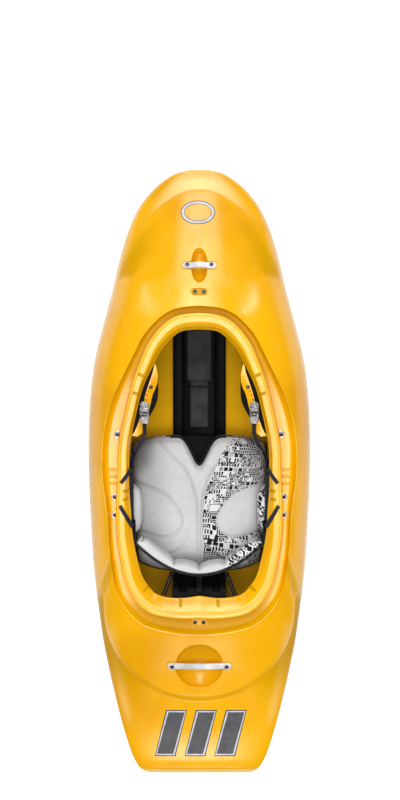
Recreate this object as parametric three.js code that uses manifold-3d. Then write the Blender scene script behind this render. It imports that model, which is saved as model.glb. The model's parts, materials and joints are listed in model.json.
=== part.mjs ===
// A whitewater playboat kayak: a moulded shell with its cockpit rim, and the outfitting bolted inside it.
// Millimetres, +Z up, the bow towards +Y. The origin is on the ground under the middle of the hull.
import * as THREE from "three";
import { mergeVertices } from "three/addons/utils/BufferGeometryUtils.js";
import Module from "manifold-3d";

const wasm = await Module();
wasm.setup();

// The moulded hull.
const HULL_LENGTH = 1780;
const HULL_WIDTH = 650;
const DECK_HEIGHT = 340;
const WALL = 5;
const BOW_ROCKER = 120;
const STERN_ROCKER = 78;
const FLAT_LENGTH = 500;
const CHINE_LIFT = 12;
const TIP_RADIUS = 46;
const PANEL_DEPTH = 6;
const REAR_STEP = 9;

// The cockpit rim, which leans down towards the stern.
const RIM_LENGTH = 886;
const RIM_WIDTH = HULL_WIDTH * 0.739;
const RIM_CENTRE_Y = 20;
const RIM_DROP = 48;
const RIM_CENTRE_Z = DECK_HEIGHT - RIM_DROP;
const RIM_FALL = 105;
const RIM_TILT = Math.asin(RIM_FALL / RIM_LENGTH);
const LIP_WIDTH = 20;
const LIP_THICK = 6;
const RISER_HEIGHT = 32;
const FLANGE_WIDTH = 50;
const FLANGE_DROP = 21;

// Grab handles over their finger wells.
const BAR_WIDTH = 18;
const BAR_THICK = 5;
const BAR_RISE = 4;
const BAR_END = 14;
const BOW_BAR_LENGTH = 97;
const BOW_WELL_WIDTH = 46;
const BOW_WELL_LENGTH = 110;
const BOW_WELL_DEPTH = 32;
const STERN_BAR_LENGTH = 187;
const STERN_BOWL_WIDTH = 138;
const STERN_BOWL_DEPTH = 38;

// Outfitting.
const SEAT_MARGIN = 38.2;
const SEAT_WIDTH = RIM_WIDTH - 2 * SEAT_MARGIN;
const SEAT_LENGTH = 407;
const SEAT_REAR_Y = -298;
const PAN_HEIGHT = 32;
const PAN_WALL = 4;
const PAD_SIT = 38;
const PAD_THIGH = 74;
const BEAM_WIDTH = 159;
const BEAM_THICK = 4;
const PILLAR_WIDTH = 74;
const STRAP_WIDTH = 11;
const STRAP_THICK = 2.4;
const RATCHET_LENGTH = 54;
const RATCHET_WIDTH = 26;

// Fastenings.
const BOLT_RADIUS = 3;
const BOLT_HEAD = 6;
const WASHER_RADIUS = 11;

// Working clearances.
const SEAT_GAP = 0.3;
const RUN_GAP = 0.6;
const OVERRUN = 40;

const STATIONS = 30;
const DECK_STEPS = 7;
const RIM_STEPS = 44;

const material = (color, roughness, metalness = 0) =>
  new THREE.MeshStandardMaterial({ color, roughness, metalness });
const yellowPlastic = material(0xf9b000, 0.35);
const blackPlastic = material(0x17181b, 0.5);
const blackFoam = material(0x24262b, 0.9);
const greyFoam = material(0x4b4d52, 0.9);
const paleFabric = material(0xc9c9c9, 0.85);
const webbing = material(0x2c2f38, 0.85);
const castMetal = material(0xb9bcc2, 0.35, 1);
const boltSteel = material(0x8d97a6, 0.3, 1);
const paintedBar = material(0xe9ebee, 0.3, 0.4);

const kayak = new THREE.Group();
const cockpit = new THREE.Group();
cockpit.position.set(0, RIM_CENTRE_Y, RIM_CENTRE_Z);
cockpit.rotation.x = RIM_TILT;
kayak.add(cockpit);
cockpit.updateMatrixWorld(true);
const rimFrame = cockpit.matrixWorld;
const point = (x, y, z) => new THREE.Vector3(x, y, z);
const mix = (a, b, share) => a + (b - a) * share;
const clamp = (value) => Math.min(1, Math.max(0, value));
const ease = (value) => clamp(value) ** 2 * (3 - 2 * clamp(value));

// A smooth curve through pairs of [place, value], both as shares.
function through(shares, place) {
  const last = shares.length - 1;
  let i = 0;
  while (i < last - 1 && place > shares[i + 1][0]) i += 1;
  const slope = (k) => {
    const a = shares[Math.max(0, k - 1)];
    const b = shares[Math.min(last, k + 1)];
    return (b[1] - a[1]) / (b[0] - a[0]);
  };
  const [x0, y0] = shares[i];
  const [x1, y1] = shares[i + 1];
  const step = x1 - x0;
  const t = clamp((place - x0) / step);
  const t2 = t * t;
  const t3 = t2 * t;
  return (
    y0 * (2 * t3 - 3 * t2 + 1) +
    y1 * (3 * t2 - 2 * t3) +
    slope(i) * step * (t3 - 2 * t2 + t) +
    slope(i + 1) * step * (t3 - t2)
  );
}

// Points and triangles as one geometry, turned so that its faces look outwards.
function geometryOf(points, faces) {
  let volume = 0;
  for (const [a, b, c] of faces) {
    volume += points[a].dot(points[b].clone().cross(points[c]));
  }
  const order = volume < 0 ? ([a, b, c]) => [a, c, b] : (face) => face;
  const geometry = new THREE.BufferGeometry();
  geometry.setAttribute("position", new THREE.Float32BufferAttribute(points.flatMap((p) => p.toArray()), 3));
  geometry.setIndex(faces.flatMap(order));
  return geometry;
}

// A skin over closed rings of points: a ring itself when closed, or else with an end cap on each side.
function loft(rings, closed = false) {
  const size = rings[0].length;
  const points = rings.flat();
  const faces = [];
  const joins = closed ? rings.length : rings.length - 1;
  for (let i = 0; i < joins; i += 1) {
    const next = (i + 1) % rings.length;
    for (let k = 0; k < size; k += 1) {
      const a = i * size + k;
      const b = i * size + ((k + 1) % size);
      const c = next * size + ((k + 1) % size);
      const d = next * size + k;
      faces.push([a, b, c], [a, c, d]);
    }
  }
  if (closed) return geometryOf(points, faces);
  faces.push(...capFaces(rings[0], 0, true));
  faces.push(...capFaces(rings[rings.length - 1], (rings.length - 1) * size, false));
  return geometryOf(points, faces);
}

// A cap over one ring, seen along the axis in which the ring is flattest.
function capFaces(ring, start, turn) {
  const extent = new THREE.Box3().setFromPoints(ring).getSize(point(0, 0, 0)).toArray();
  const flat = extent.indexOf(Math.min(...extent));
  const [a, b] = [0, 1, 2].filter((axis) => axis !== flat);
  const seen = ring.map((p) => new THREE.Vector2(p.getComponent(a), p.getComponent(b)));
  const forwards = !THREE.ShapeUtils.isClockWise(seen);
  const cap = THREE.ShapeUtils.triangulateShape(forwards ? seen : [...seen].reverse(), []);
  const index = (k) => start + (forwards ? k : ring.length - 1 - k);
  const flipped = forwards === turn;
  return cap.map(([i, j, k]) => (flipped ? [index(k), index(j), index(i)] : [index(i), index(j), index(k)]));
}

// A closed sheet between two surfaces; u runs across and v along, both from 0 to 1.
// Its ends are closed by strips from one surface to the other, so that a curved end stays clean.
function slab(across, along, top, bottom) {
  const rings = [];
  for (let j = 0; j <= along; j += 1) {
    const ring = [];
    for (let i = 0; i <= across; i += 1) ring.push(top(i / across, j / along));
    for (let i = across; i >= 0; i -= 1) ring.push(bottom(i / across, j / along));
    rings.push(ring);
  }
  const size = rings[0].length;
  const points = rings.flat();
  const faces = [];
  for (let i = 0; i + 1 < rings.length; i += 1) {
    for (let k = 0; k < size; k += 1) {
      const a = i * size + k;
      const b = i * size + ((k + 1) % size);
      const under = k >= size / 2;
      faces.push(...(under ? [[a, b, a + size], [b, b + size, a + size]] : [[a, b, b + size], [a, b + size, a + size]]));
    }
  }
  for (const [start, turn] of [
    [0, true],
    [(rings.length - 1) * size, false],
  ]) {
    for (let k = 0; k + 1 < size / 2; k += 1) {
      const [a, b, c, d] = [start + k, start + k + 1, start + size - 2 - k, start + size - 1 - k];
      faces.push(...(turn ? [[b, a, c], [a, d, c]] : [[a, b, c], [a, c, d]]));
    }
  }
  return geometryOf(points, faces);
}

// A solid for cutting and joining, taken from a closed geometry.
function solid(geometry, matrix = new THREE.Matrix4()) {
  const bare = geometry.clone().applyMatrix4(matrix);
  bare.deleteAttribute("normal");
  bare.deleteAttribute("uv");
  const merged = mergeVertices(bare, 1e-3);
  return new wasm.Manifold(
    new wasm.Mesh({
      numProp: 3,
      vertProperties: merged.attributes.position.array,
      triVerts: new Uint32Array(merged.index.array),
    }),
  );
}

function geometryFrom(body) {
  const made = body.getMesh();
  const geometry = new THREE.BufferGeometry();
  geometry.setAttribute("position", new THREE.BufferAttribute(made.vertProperties, 3));
  geometry.setIndex(new THREE.BufferAttribute(made.triVerts, 1));
  return geometry;
}

function piece(name, shape, finish, parent = kayak) {
  const geometry = shape.isBufferGeometry ? shape : geometryFrom(shape);
  geometry.computeVertexNormals();
  const mesh = new THREE.Mesh(geometry, finish);
  mesh.name = name;
  parent.add(mesh);
  return mesh;
}

const box = (x0, x1, y0, y1, z0, z1) =>
  new THREE.BoxGeometry(x1 - x0, y1 - y0, z1 - z0).translate((x0 + x1) / 2, (y0 + y1) / 2, (z0 + z1) / 2);

function outline(corners) {
  const shape = new THREE.Shape();
  shape.setFromPoints(corners.map(([x, y]) => new THREE.Vector2(x, y)));
  return shape;
}

// A plan shape raised from z0 to z1.
const plate = (shape, z0, z1, curveSegments = 6) =>
  new THREE.ExtrudeGeometry(shape, { depth: z1 - z0, bevelEnabled: false, curveSegments }).translate(0, 0, z0);

// A section drawn in x and z, run along y from y0 to y1.
const run = (shape, y0, y1) =>
  new THREE.ExtrudeGeometry(shape, { depth: y1 - y0, bevelEnabled: false, curveSegments: 6 })
    .rotateX(Math.PI / 2)
    .translate(0, y1, 0);

// A plan slot with round ends, its long side along x.
function slotShape(length, width) {
  const reach = length / 2 - width / 2;
  const shape = new THREE.Shape();
  shape.absarc(reach, 0, width / 2, -Math.PI / 2, Math.PI / 2);
  shape.absarc(-reach, 0, width / 2, Math.PI / 2, (3 * Math.PI) / 2);
  shape.closePath();
  return shape;
}

// Hull lines, each as shares of the length from the stern and of the size they follow.
const halfWidthShares = [
  [0, 0.46], [0.004, 0.515], [0.01, 0.552], [0.019, 0.583], [0.03, 0.613], [0.054, 0.657], [0.087, 0.711],
  [0.12, 0.757], [0.154, 0.802], [0.187, 0.839], [0.22, 0.875], [0.255, 0.902], [0.33, 0.952], [0.405, 0.979],
  [0.5, 1], [0.58, 1], [0.65, 0.975], [0.7, 0.93], [0.755, 0.853], [0.8, 0.788],
  [0.85, 0.725], [0.9, 0.642], [0.935, 0.555], [0.96, 0.455], [0.978, 0.352], [0.99, 0.257], [0.996, 0.18], [1, 0.077],
];
const ridgeShares = [
  [0, 0.41], [0.05, 0.425], [0.107, 0.46], [0.163, 0.525], [0.208, 0.6], [0.236, 0.65], [0.275, 0.71], [0.315, 0.8],
  [0.36, 0.92], [0.416, 0.985], [0.5, 1], [0.612, 1.01], [0.725, 1], [0.764, 0.985], [0.81, 0.92], [0.865, 0.8],
  [0.92, 0.67], [0.966, 0.58], [1, 0.53],
];
const railShares = [[0, 0.355], [0.2, 0.345], [0.35, 0.365], [0.5, 0.385], [0.7, 0.41], [0.85, 0.435], [1, 0.46]];
const crownPowers = [[0, 3], [0.25, 2.6], [0.4, 2.8], [0.65, 2.8], [0.8, 2.3], [1, 2]];
const chineShares = [[0, 0.7], [0.2, 0.78], [0.5, 0.82], [0.8, 0.76], [1, 0.6]];
const alongHull = (y) => clamp(y / HULL_LENGTH + 0.5);
const halfWidth = (y) => (HULL_WIDTH / 2) * through(halfWidthShares, alongHull(y));
const railZ = (y) => DECK_HEIGHT * through(railShares, alongHull(y));
const ridgeZ = (y) => DECK_HEIGHT * through(ridgeShares, alongHull(y));

function keelZ(y) {
  const reach = Math.max(0, Math.abs(y) - FLAT_LENGTH / 2) / (HULL_LENGTH / 2 - FLAT_LENGTH / 2);
  return (y > 0 ? BOW_ROCKER : STERN_ROCKER) * reach ** 2;
}

// The tips are round in profile: the section's height falls away over the last stretch.
function tipHeight(y) {
  const tipFlatShare = 0.05;
  const reach = clamp((HULL_LENGTH / 2 - Math.abs(y)) / TIP_RADIUS + tipFlatShare);
  return Math.sqrt(1 - (1 - reach) ** 2);
}

// The foredeck has a shallow sunk panel on each side, and the afterdeck steps down outside a round plateau.
// Each pair of shares gives where an edge lies and how wide it is.
const panelOuterShares = [0.92, 0.08];
const panelInnerShares = [0.25, 0.35];
const panelRearShares = [0.815, 0.03];
const panelFrontShares = [0.965, 0.03];
const plateauWidthShare = 0.43;
const plateauCentreShare = 0.275;
const plateauReachShare = 0.151;
const plateauEdgeShares = [0.96, 0.08];
const plateauFadeShare = 0.05;
const sternFadeShare = 0.08;
const risingFrom = (value, [edge, width]) => ease((value - edge) / width);
const fallingTo = (value, [edge, width]) => ease((edge - value) / width);
function relief(x, y) {
  const side = Math.abs(x) / halfWidth(y);
  const place = alongHull(y);
  const panel = fallingTo(side, panelOuterShares) * risingFrom(side, panelInnerShares);
  const panelWindow = risingFrom(place, panelRearShares) * fallingTo(place, panelFrontShares);
  const down = (plateauCentreShare - place) / plateauReachShare;
  const out = Math.abs(x) / (HULL_WIDTH * plateauWidthShare);
  const round = Math.sqrt(Math.max(0, down) ** 2 + out ** 2);
  const step = risingFrom(round, plateauEdgeShares) * ease((plateauCentreShare - place) / plateauFadeShare);
  return -PANEL_DEPTH * panel * panelWindow - REAR_STEP * step * ease(place / sternFadeShare);
}

function deckZ(x, y) {
  const side = clamp(Math.abs(x) / halfWidth(y));
  const power = through(crownPowers, alongHull(y));
  const crown = (1 - side ** power) ** (1 / power);
  return railZ(y) + ((ridgeZ(y) - railZ(y)) * crown + relief(x, y) * crown) * tipHeight(y);
}

// One half of a cross-section, from the keel round the chine and the rail up to the middle of the deck.
function halfSection(y) {
  const rail = railZ(y);
  const keel = rail - (rail - keelZ(y)) * tipHeight(y);
  const wide = halfWidth(y);
  const chine = wide * through(chineShares, alongHull(y));
  const chineHeight = mix(keel, rail, CHINE_LIFT / railZ(0));
  const flareShare = 0.72;
  const flareHeightShare = 0.45;
  const flatShare = 0.85;
  const section = [
    [0, keel],
    [chine * flatShare, keel],
    [chine, chineHeight],
    [mix(chine, wide, flareShare), mix(chineHeight, rail, flareHeightShare)],
  ];
  const power = through(crownPowers, alongHull(y));
  for (let k = 0; k <= DECK_STEPS; k += 1) {
    const angle = (k / DECK_STEPS) * (Math.PI / 2);
    const x = wide * Math.cos(angle) ** (2 / power);
    section.push([x, deckZ(x, y)]);
  }
  return section;
}

function hullRings() {
  const rings = [];
  for (let i = 0; i <= STATIONS; i += 1) {
    const y = (-HULL_LENGTH / 2) * Math.cos((i / STATIONS) * Math.PI);
    const half = halfSection(y);
    const right = half.map(([x, z]) => point(x, y, z));
    const left = half.slice(1, -1).reverse().map(([x, z]) => point(-x, y, z));
    rings.push([...right, ...left]);
  }
  return rings;
}

// The hull's body, drawn in from its skin by an even inset.
function hullForm(inset) {
  const rings = inset > 0 ? hullRings().slice(1, -1) : hullRings();
  const geometry = loft(rings);
  geometry.computeVertexNormals();
  const { position, normal } = geometry.attributes;
  for (let i = 0; i < position.count; i += 1) {
    position.setXYZ(
      i,
      position.getX(i) - normal.getX(i) * inset,
      position.getY(i) - normal.getY(i) * inset,
      position.getZ(i) - normal.getZ(i) * inset,
    );
  }
  return geometry;
}
const hullBody = (inset) => solid(hullForm(inset));

// The inside of the hull along its keel, as [y, z] places; each cross-section starts at the keel.
function keelLine(inset) {
  const { position } = hullForm(inset).attributes;
  const size = halfSection(0).length * 2 - 2;
  const line = [];
  for (let i = 0; i < position.count; i += size) line.push([position.getY(i), position.getZ(i)]);
  return line;
}

// The rim's outer edge, every ten degrees from the bow round to the stern, as shares of half its length,
// and how far the gutter around it reaches beyond that edge.
const rimRadiusShares = [
  1, 0.99, 0.893, 0.773, 0.684, 0.613, 0.574, 0.552, 0.541, 0.541, 0.557, 0.589, 0.638, 0.711, 0.807, 0.932, 1.014,
  1.013, 1,
].map((value, i, all) => [i / (all.length - 1), value]);
const gutterShares = [
  0.041, 0.045, 0.055, 0.066, 0.08, 0.1, 0.108, 0.106, 0.104, 0.098, 0.088, 0.07, 0.058, 0.063, 0.082, 0.1, 0.096,
  0.1, 0.112,
].map((value, i, all) => [i / (all.length - 1), value]);

const rimWidthShare = 0.542;
const rimWiden = RIM_WIDTH / (RIM_LENGTH * rimWidthShare);
const halfTurn = (turn) => (turn <= 0.5 ? turn * 2 : 2 - turn * 2);
// A place on the rim: turn runs from 0 at the bow, over the right side, to 1 at the bow again.
function rimPoint(turn, beyond = 0) {
  const half = halfTurn(turn);
  const radius = (RIM_LENGTH / 2) * (through(rimRadiusShares, half) + beyond * through(gutterShares, half));
  const angle = turn * 2 * Math.PI;
  return point(radius * Math.sin(angle) * rimWiden, radius * Math.cos(angle), 0);
}

// The same place moved inwards from the edge and up, square to the rim's outline.
function onRim(turn, inward, up = 0) {
  const small = 1 / (RIM_STEPS * 4);
  const ahead = rimPoint(turn + small).sub(rimPoint(turn - small + (turn < small ? 1 : 0)));
  const towards = point(ahead.y, -ahead.x, 0).normalize();
  return rimPoint(turn).addScaledVector(towards, inward).setZ(up);
}

// The flange inside the rim is widest at the stern and narrow at the hips.
const flangeShares = [
  [0, 0.98], [0.1, 0.92], [0.22, 0.7], [0.35, 0.68], [0.45, 0.66], [0.55, 0.68], [0.66, 0.86], [0.77, 0.95],
  [0.89, 1.12], [0.94, 1.12], [1, 1.26],
];
const flangeWidth = (turn) => FLANGE_WIDTH * through(flangeShares, halfTurn(turn));

function rimLoop(place) {
  const ring = [];
  for (let i = 0; i < RIM_STEPS; i += 1) ring.push(place(i / RIM_STEPS));
  return ring;
}

// Rings across a section become one ring of sections that closes on itself.
const sweepRim = (section) =>
  loft(rimLoop((turn) => section(turn).map(([inward, up]) => onRim(turn, inward, up))), true);

// The rim turns up from the deck, out into the lip that holds a spray deck, and in and down to the cockpit's edge.
function rimRing() {
  const riser = LIP_WIDTH + WALL;
  const rounding = LIP_THICK * 0.6;
  return sweepRim((turn) => {
    const edge = flangeWidth(turn);
    return [
      [0, -LIP_THICK],
      [0, -rounding / 2],
      [rounding, 0],
      [riser, -rounding / 2],
      [edge, -FLANGE_DROP],
      [edge - WALL / 2, -FLANGE_DROP - WALL],
      [riser, -LIP_THICK - WALL],
      [riser, -RISER_HEIGHT - WALL - SEAT_GAP],
      [LIP_WIDTH, -RISER_HEIGHT - WALL - SEAT_GAP],
      [LIP_WIDTH, -LIP_THICK],
    ];
  });
}

// What the gutter clears away: everything over its floor, out to a sloping outer wall.
const gutterFloorShare = 0.7;
const gutterWallShare = 1;
const gutterBrimShare = 1.2;
function gutterCut(grow) {
  const floor = -RISER_HEIGHT - grow;
  const spread = (share, up) => {
    const grown = (turn) => rimPoint(turn, share).addScaledVector(rimPoint(turn).normalize(), grow);
    return rimLoop((turn) => grown(turn).setZ(up));
  };
  return solid(
    loft([
      spread(gutterFloorShare, floor),
      spread(gutterWallShare, floor + RISER_HEIGHT / 2),
      spread(gutterBrimShare, OVERRUN * 3),
    ]),
    rimFrame,
  );
}

const cockpitHole = () =>
  solid(
    loft([-1, 1].map((end) => rimLoop((turn) => onRim(turn, LIP_WIDTH + WALL / 2, end * OVERRUN * 2)))),
    rimFrame,
  );

// A frame on the deck's middle line, its z square to the deck.
function onDeck(y) {
  const step = WALL;
  const slope = (deckZ(0, y + step) - deckZ(0, y - step)) / (2 * step);
  return new THREE.Matrix4().makeRotationX(Math.atan(slope)).setPosition(0, y, deckZ(0, y));
}

// Grab handles: each bar bridges a finger well and seats in a shallow recess.
const handles = [
  {
    name: "bow_handle",
    y: HULL_LENGTH * 0.336,
    length: BOW_BAR_LENGTH,
    well: [BOW_WELL_WIDTH / 2, BOW_WELL_LENGTH / 2, BOW_WELL_DEPTH],
  },
  {
    name: "stern_handle",
    y: -HULL_LENGTH * 0.317,
    length: STERN_BAR_LENGTH,
    well: [STERN_BOWL_WIDTH / 2, STERN_BOWL_WIDTH / 2, STERN_BOWL_DEPTH],
  },
];
const handleScrew = (handle, side) => side * (handle.length / 2 - BAR_END);
const recessDepth = 3.5;
const recessMargin = 4;
// Pairs of bolts into the pillars: one through the foredeck, one through the gutter's floor behind the rim.
const frontBoltY = HULL_LENGTH * 0.2927;
const rearBoltShare = 0.34;
const deckBoltSpacing = 25;
// Bolts through the gutter's floor, as turns round the rim's outline.
const sideBoltTurns = [0.191, 0.307, 0.335];
const sideBoltShare = 0.15;

const bore = (length) => new THREE.CylinderGeometry(1, 1, length, 8).rotateX(Math.PI / 2);
const drill = (radius, length = OVERRUN * 2) => bore(length).scale(radius, radius, 1);

function wellCut(handle, grow) {
  const [x, y, z] = handle.well;
  const bowl = new THREE.SphereGeometry(1, 16, 8).rotateX(Math.PI / 2).scale(x + grow, y + grow, z + grow);
  return solid(bowl, onDeck(handle.y));
}

function recessCut(length, width, y, grow) {
  const shape = slotShape(length + 2 * (recessMargin + grow), width + 2 * (recessMargin + grow));
  return solid(plate(shape, -recessDepth - grow, OVERRUN), onDeck(y));
}

// Everything sunk in the skin; the inner skin follows it a wall's thickness further out.
function sunken(grow) {
  const cuts = [gutterCut(grow)];
  for (const handle of handles) {
    cuts.push(wellCut(handle, grow), recessCut(handle.length, BAR_WIDTH, handle.y, grow));
  }
  cuts.push(recessCut(deckBoltSpacing + BOLT_HEAD * 2, BOLT_HEAD * 2, frontBoltY, grow));
  return cuts;
}

const sideBoltPlace = (turn, side) => {
  const half = rimPoint(turn, sideBoltShare);
  return point(side * half.x, half.y, -RISER_HEIGHT);
};

function boltPlaces() {
  const places = [];
  const moved = (frame, x, y, z) => frame.clone().multiply(new THREE.Matrix4().makeTranslation(x, y, z));
  for (const [word, side] of [["left", -1], ["right", 1]]) {
    const x = (side * deckBoltSpacing) / 2;
    const rearY = rimPoint(0.5, rearBoltShare).y;
    places.push({ name: `front_deck_bolt_${word}`, place: moved(onDeck(frontBoltY), x, 0, -recessDepth), washer: false });
    places.push({ name: `rear_deck_bolt_${word}`, place: moved(rimFrame, x, rearY, -RISER_HEIGHT), washer: false });
  }
  sideBoltTurns.forEach((turn, i) => {
    for (const side of [-1, 1]) {
      const at = sideBoltPlace(turn, side);
      const place = moved(rimFrame, at.x, at.y, at.z);
      places.push({ name: `side_bolt_${i + 1}_${side < 0 ? "left" : "right"}`, place, washer: true });
    }
  });
  for (const handle of handles) {
    for (const side of [-1, 1]) {
      const place = moved(onDeck(handle.y), handleScrew(handle, side), 0, BAR_THICK + SEAT_GAP - recessDepth);
      places.push({ name: `${handle.name}_bolt_${side < 0 ? "left" : "right"}`, place, washer: false, grip: BAR_THICK });
    }
  }
  return places;
}

// The room inside the hull, under the deck and the gutter.
function insideSpace(inset) {
  return sunken(inset).reduce((space, cut) => space.subtract(cut), hullBody(inset));
}

function hullShell() {
  let skin = sunken(0).reduce((body, cut) => body.subtract(cut), hullBody(0));
  skin = skin.subtract(insideSpace(WALL)).subtract(cockpitHole());
  skin = skin.add(solid(rimRing(), rimFrame));
  for (const { place } of boltPlaces()) {
    skin = skin.subtract(solid(drill(BOLT_RADIUS + SEAT_GAP, OVERRUN), place));
  }
  return skin;
}

piece("hull_shell", hullShell(), yellowPlastic);

// A round-headed bolt, its head on z = 0; with a cupped washer where it holds through soft plastic.
function bolt(length, washer) {
  const head = BOLT_HEAD;
  const crown = head * 0.6;
  const cup = crown * 0.7;
  const profile = [
    [0, -length],
    [BOLT_RADIUS, -length],
    [BOLT_RADIUS, SEAT_GAP],
    ...(washer ? [[WASHER_RADIUS, SEAT_GAP], [WASHER_RADIUS * 0.85, cup]] : [[head, SEAT_GAP]]),
    [head * 0.9, crown],
    [head * 0.5, crown * 1.35],
    [0, crown * 1.35],
  ].map(([r, z]) => new THREE.Vector2(r, z));
  return new THREE.LatheGeometry(profile, 8).rotateX(Math.PI / 2);
}

for (const { name, place, washer, grip = 0 } of boltPlaces()) {
  const part = piece(name, bolt(grip + WALL * 3, washer), boltSteel);
  part.applyMatrix4(place);
}

// An arched bar with round ends, drilled for its two screws.
const barColumns = 12;
function handleBar(handle) {
  const flat = handleScrew(handle, 1) - BAR_WIDTH / 2;
  const crest = (x) => BAR_RISE * Math.cos((Math.min(1, Math.abs(x) / flat) * Math.PI) / 2) ** 2;
  const place = (u, v, up) => {
    const x = mix(-handle.length, handle.length, u) / 2;
    return point(x, mix(-BAR_WIDTH, BAR_WIDTH, v) / 2, crest(x) + up);
  };
  const arch = slab(barColumns, 1, (u, v) => place(u, v, BAR_THICK), (u, v) => place(u, v, 0));
  let bar = solid(arch).intersect(solid(plate(slotShape(handle.length, BAR_WIDTH), -OVERRUN, OVERRUN)));
  for (const side of [-1, 1]) {
    bar = bar.subtract(solid(drill(BOLT_RADIUS + SEAT_GAP).translate(handleScrew(handle, side), 0, 0)));
  }
  return bar;
}

for (const handle of handles) {
  const bar = piece(handle.name, handleBar(handle), paintedBar);
  bar.applyMatrix4(onDeck(handle.y).multiply(new THREE.Matrix4().makeTranslation(0, 0, SEAT_GAP - recessDepth)));
}

const openSpace = insideSpace(WALL + SEAT_GAP);
const floorLine = keelLine(WALL + SEAT_GAP);
function floorZ(y) {
  const next = Math.max(1, floorLine.findIndex(([place]) => place >= y));
  const [y0, z0] = floorLine[next - 1];
  const [y1, z1] = floorLine[next];
  return mix(z0, z1, (y - y0) / (y1 - y0));
}

// A section run along the floor of the hull, rising with its rocker.
function alongFloor(section, y0, y1, steps, lift = 0) {
  const rings = [];
  for (let i = 0; i <= steps; i += 1) {
    const y = mix(y0, y1, i / steps);
    rings.push(section.map(([x, z]) => point(x, y, z + floorZ(y) + lift)));
  }
  return loft(rings);
}

// The beam down the middle of the floor: a tray with turned-up sides and a rib beside each.
const beamFront = HULL_LENGTH * 0.36;
const beamRear = -200;
const beamLip = 20;
const ribHeight = 12;
const ribWidth = 6;
const ribInset = 28;
function beamSection() {
  const wide = BEAM_WIDTH / 2;
  const right = [
    [wide - ribInset - ribWidth, BEAM_THICK],
    [wide - ribInset - ribWidth * 0.7, BEAM_THICK + ribHeight],
    [wide - ribInset - ribWidth * 0.3, BEAM_THICK + ribHeight],
    [wide - ribInset, BEAM_THICK],
    [wide - BEAM_THICK, BEAM_THICK],
    [wide - BEAM_THICK * 0.8, BEAM_THICK + beamLip],
    [wide, BEAM_THICK + beamLip],
    [wide, 0],
  ];
  const left = right.map(([x, z]) => [-x, z]).reverse();
  return [...right, ...left];
}
piece("center_beam", alongFloor(beamSection(), beamRear, beamFront, 14), blackPlastic);

// A foam block along the middle of the beam, with a groove across it.
const beamPadWidth = 56;
const beamPadHeight = 34;
const beamPadFront = HULL_LENGTH * 0.246;
const beamPadRear = HULL_LENGTH * 0.074;
const grooveY = HULL_LENGTH * 0.147;
const grooveWidth = 20;
const headWidth = PILLAR_WIDTH;
function beamPad() {
  const level = 0;
  const bevel = 5;
  const block = (wide, high) => [
    [-wide / 2, level],
    [-wide / 2, high - bevel],
    [-wide / 2 + bevel, high],
    [wide / 2 - bevel, high],
    [wide / 2, high - bevel],
    [wide / 2, level],
  ];
  const head = alongFloor(block(headWidth, beamPadHeight + bevel), grooveY + grooveWidth / 2, beamPadFront, 4);
  const neck = alongFloor(block(beamPadWidth, beamPadHeight / 2), beamPadRear, grooveY + grooveWidth, 2);
  const foot = alongFloor(block(beamPadWidth, beamPadHeight), beamPadRear, grooveY - grooveWidth / 2, 2);
  return onBeam(solid(head).add(solid(neck)).add(solid(foot)));
}
piece("beam_pad", beamPad(), greyFoam);

// The foam wall that holds the foredeck up off the beam, drilled for the two deck bolts.
const pillarRear = beamPadFront + RUN_GAP;
const pillarFront = HULL_LENGTH * 0.393;
function onBeam(shape) {
  const wide = BEAM_WIDTH / 2 + SEAT_GAP;
  const high = BEAM_THICK + SEAT_GAP;
  const under = [[-wide, -OVERRUN], [-wide, high], [wide, high], [wide, -OVERRUN]];
  const tray = alongFloor(under, beamRear - SEAT_GAP, beamFront + SEAT_GAP, 14);
  return shape.subtract(solid(tray));
}
function drilled(shape, names) {
  for (const { name, place } of boltPlaces()) {
    if (names.some((start) => name.startsWith(start))) {
      shape = shape.subtract(solid(drill(BOLT_RADIUS + SEAT_GAP), place));
    }
  }
  return shape;
}
function frontPillar() {
  const wall = solid(box(-PILLAR_WIDTH / 2, PILLAR_WIDTH / 2, pillarRear, pillarFront, 0, DECK_HEIGHT));
  return drilled(onBeam(wall.intersect(openSpace)), ["front_deck_bolt", "bow_handle_bolt"]);
}
piece("front_pillar", frontPillar(), blackFoam);

// Foam blocks for the feet, cut to the hull on both sides of the pillar.
const footBlockRear = HULL_LENGTH * 0.337;
const footBlockLength = 80;
const footBlockGap = 2;
const footBlockInner = BEAM_WIDTH / 2 + footBlockGap;
const footBlockOuter = HULL_WIDTH * 0.308;
function footBlock(side) {
  const x = [side * footBlockInner, side * footBlockOuter].sort((a, b) => a - b);
  return solid(box(...x, footBlockRear, footBlockRear + footBlockLength, 0, DECK_HEIGHT)).intersect(openSpace);
}
for (const [word, side] of [["left", -1], ["right", 1]]) {
  piece(`foot_block_${word}`, footBlock(side), blackFoam);
}

// The pillar behind the seat: its front leans back as it rises, with three slots down it.
const rearPillarFront = SEAT_REAR_Y - PAN_WALL - 2 * RUN_GAP;
const rearPillarLean = 52;
const rearPillarRear = -480;
const rearPillarWidth = 157;
const pillarSlotDepth = 10;
const pillarSlotShares = [-0.62, 0, 0.62];
const pillarFaceY = (z) => rearPillarFront - (rearPillarLean * z) / DECK_HEIGHT;
function rearPillar() {
  const wide = rearPillarWidth / 2;
  const slotWidthShare = 0.16;
  const corners = (z) => {
    const front = pillarFaceY(z);
    const slots = pillarSlotShares.flatMap((centre) => {
      const [x0, x1] = [centre - slotWidthShare, centre + slotWidthShare].map((share) => share * wide);
      return [[x0, front], [x0, front - pillarSlotDepth], [x1, front - pillarSlotDepth], [x1, front]];
    });
    return [[-wide, rearPillarRear], [-wide, front], ...slots, [wide, front], [wide, rearPillarRear]];
  };
  const column = loft([0, DECK_HEIGHT].map((z) => corners(z).map(([x, y]) => point(x, y, z))));
  return drilled(solid(column).intersect(openSpace), ["rear_deck_bolt"]);
}
piece("rear_pillar", rearPillar(), blackFoam);

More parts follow.
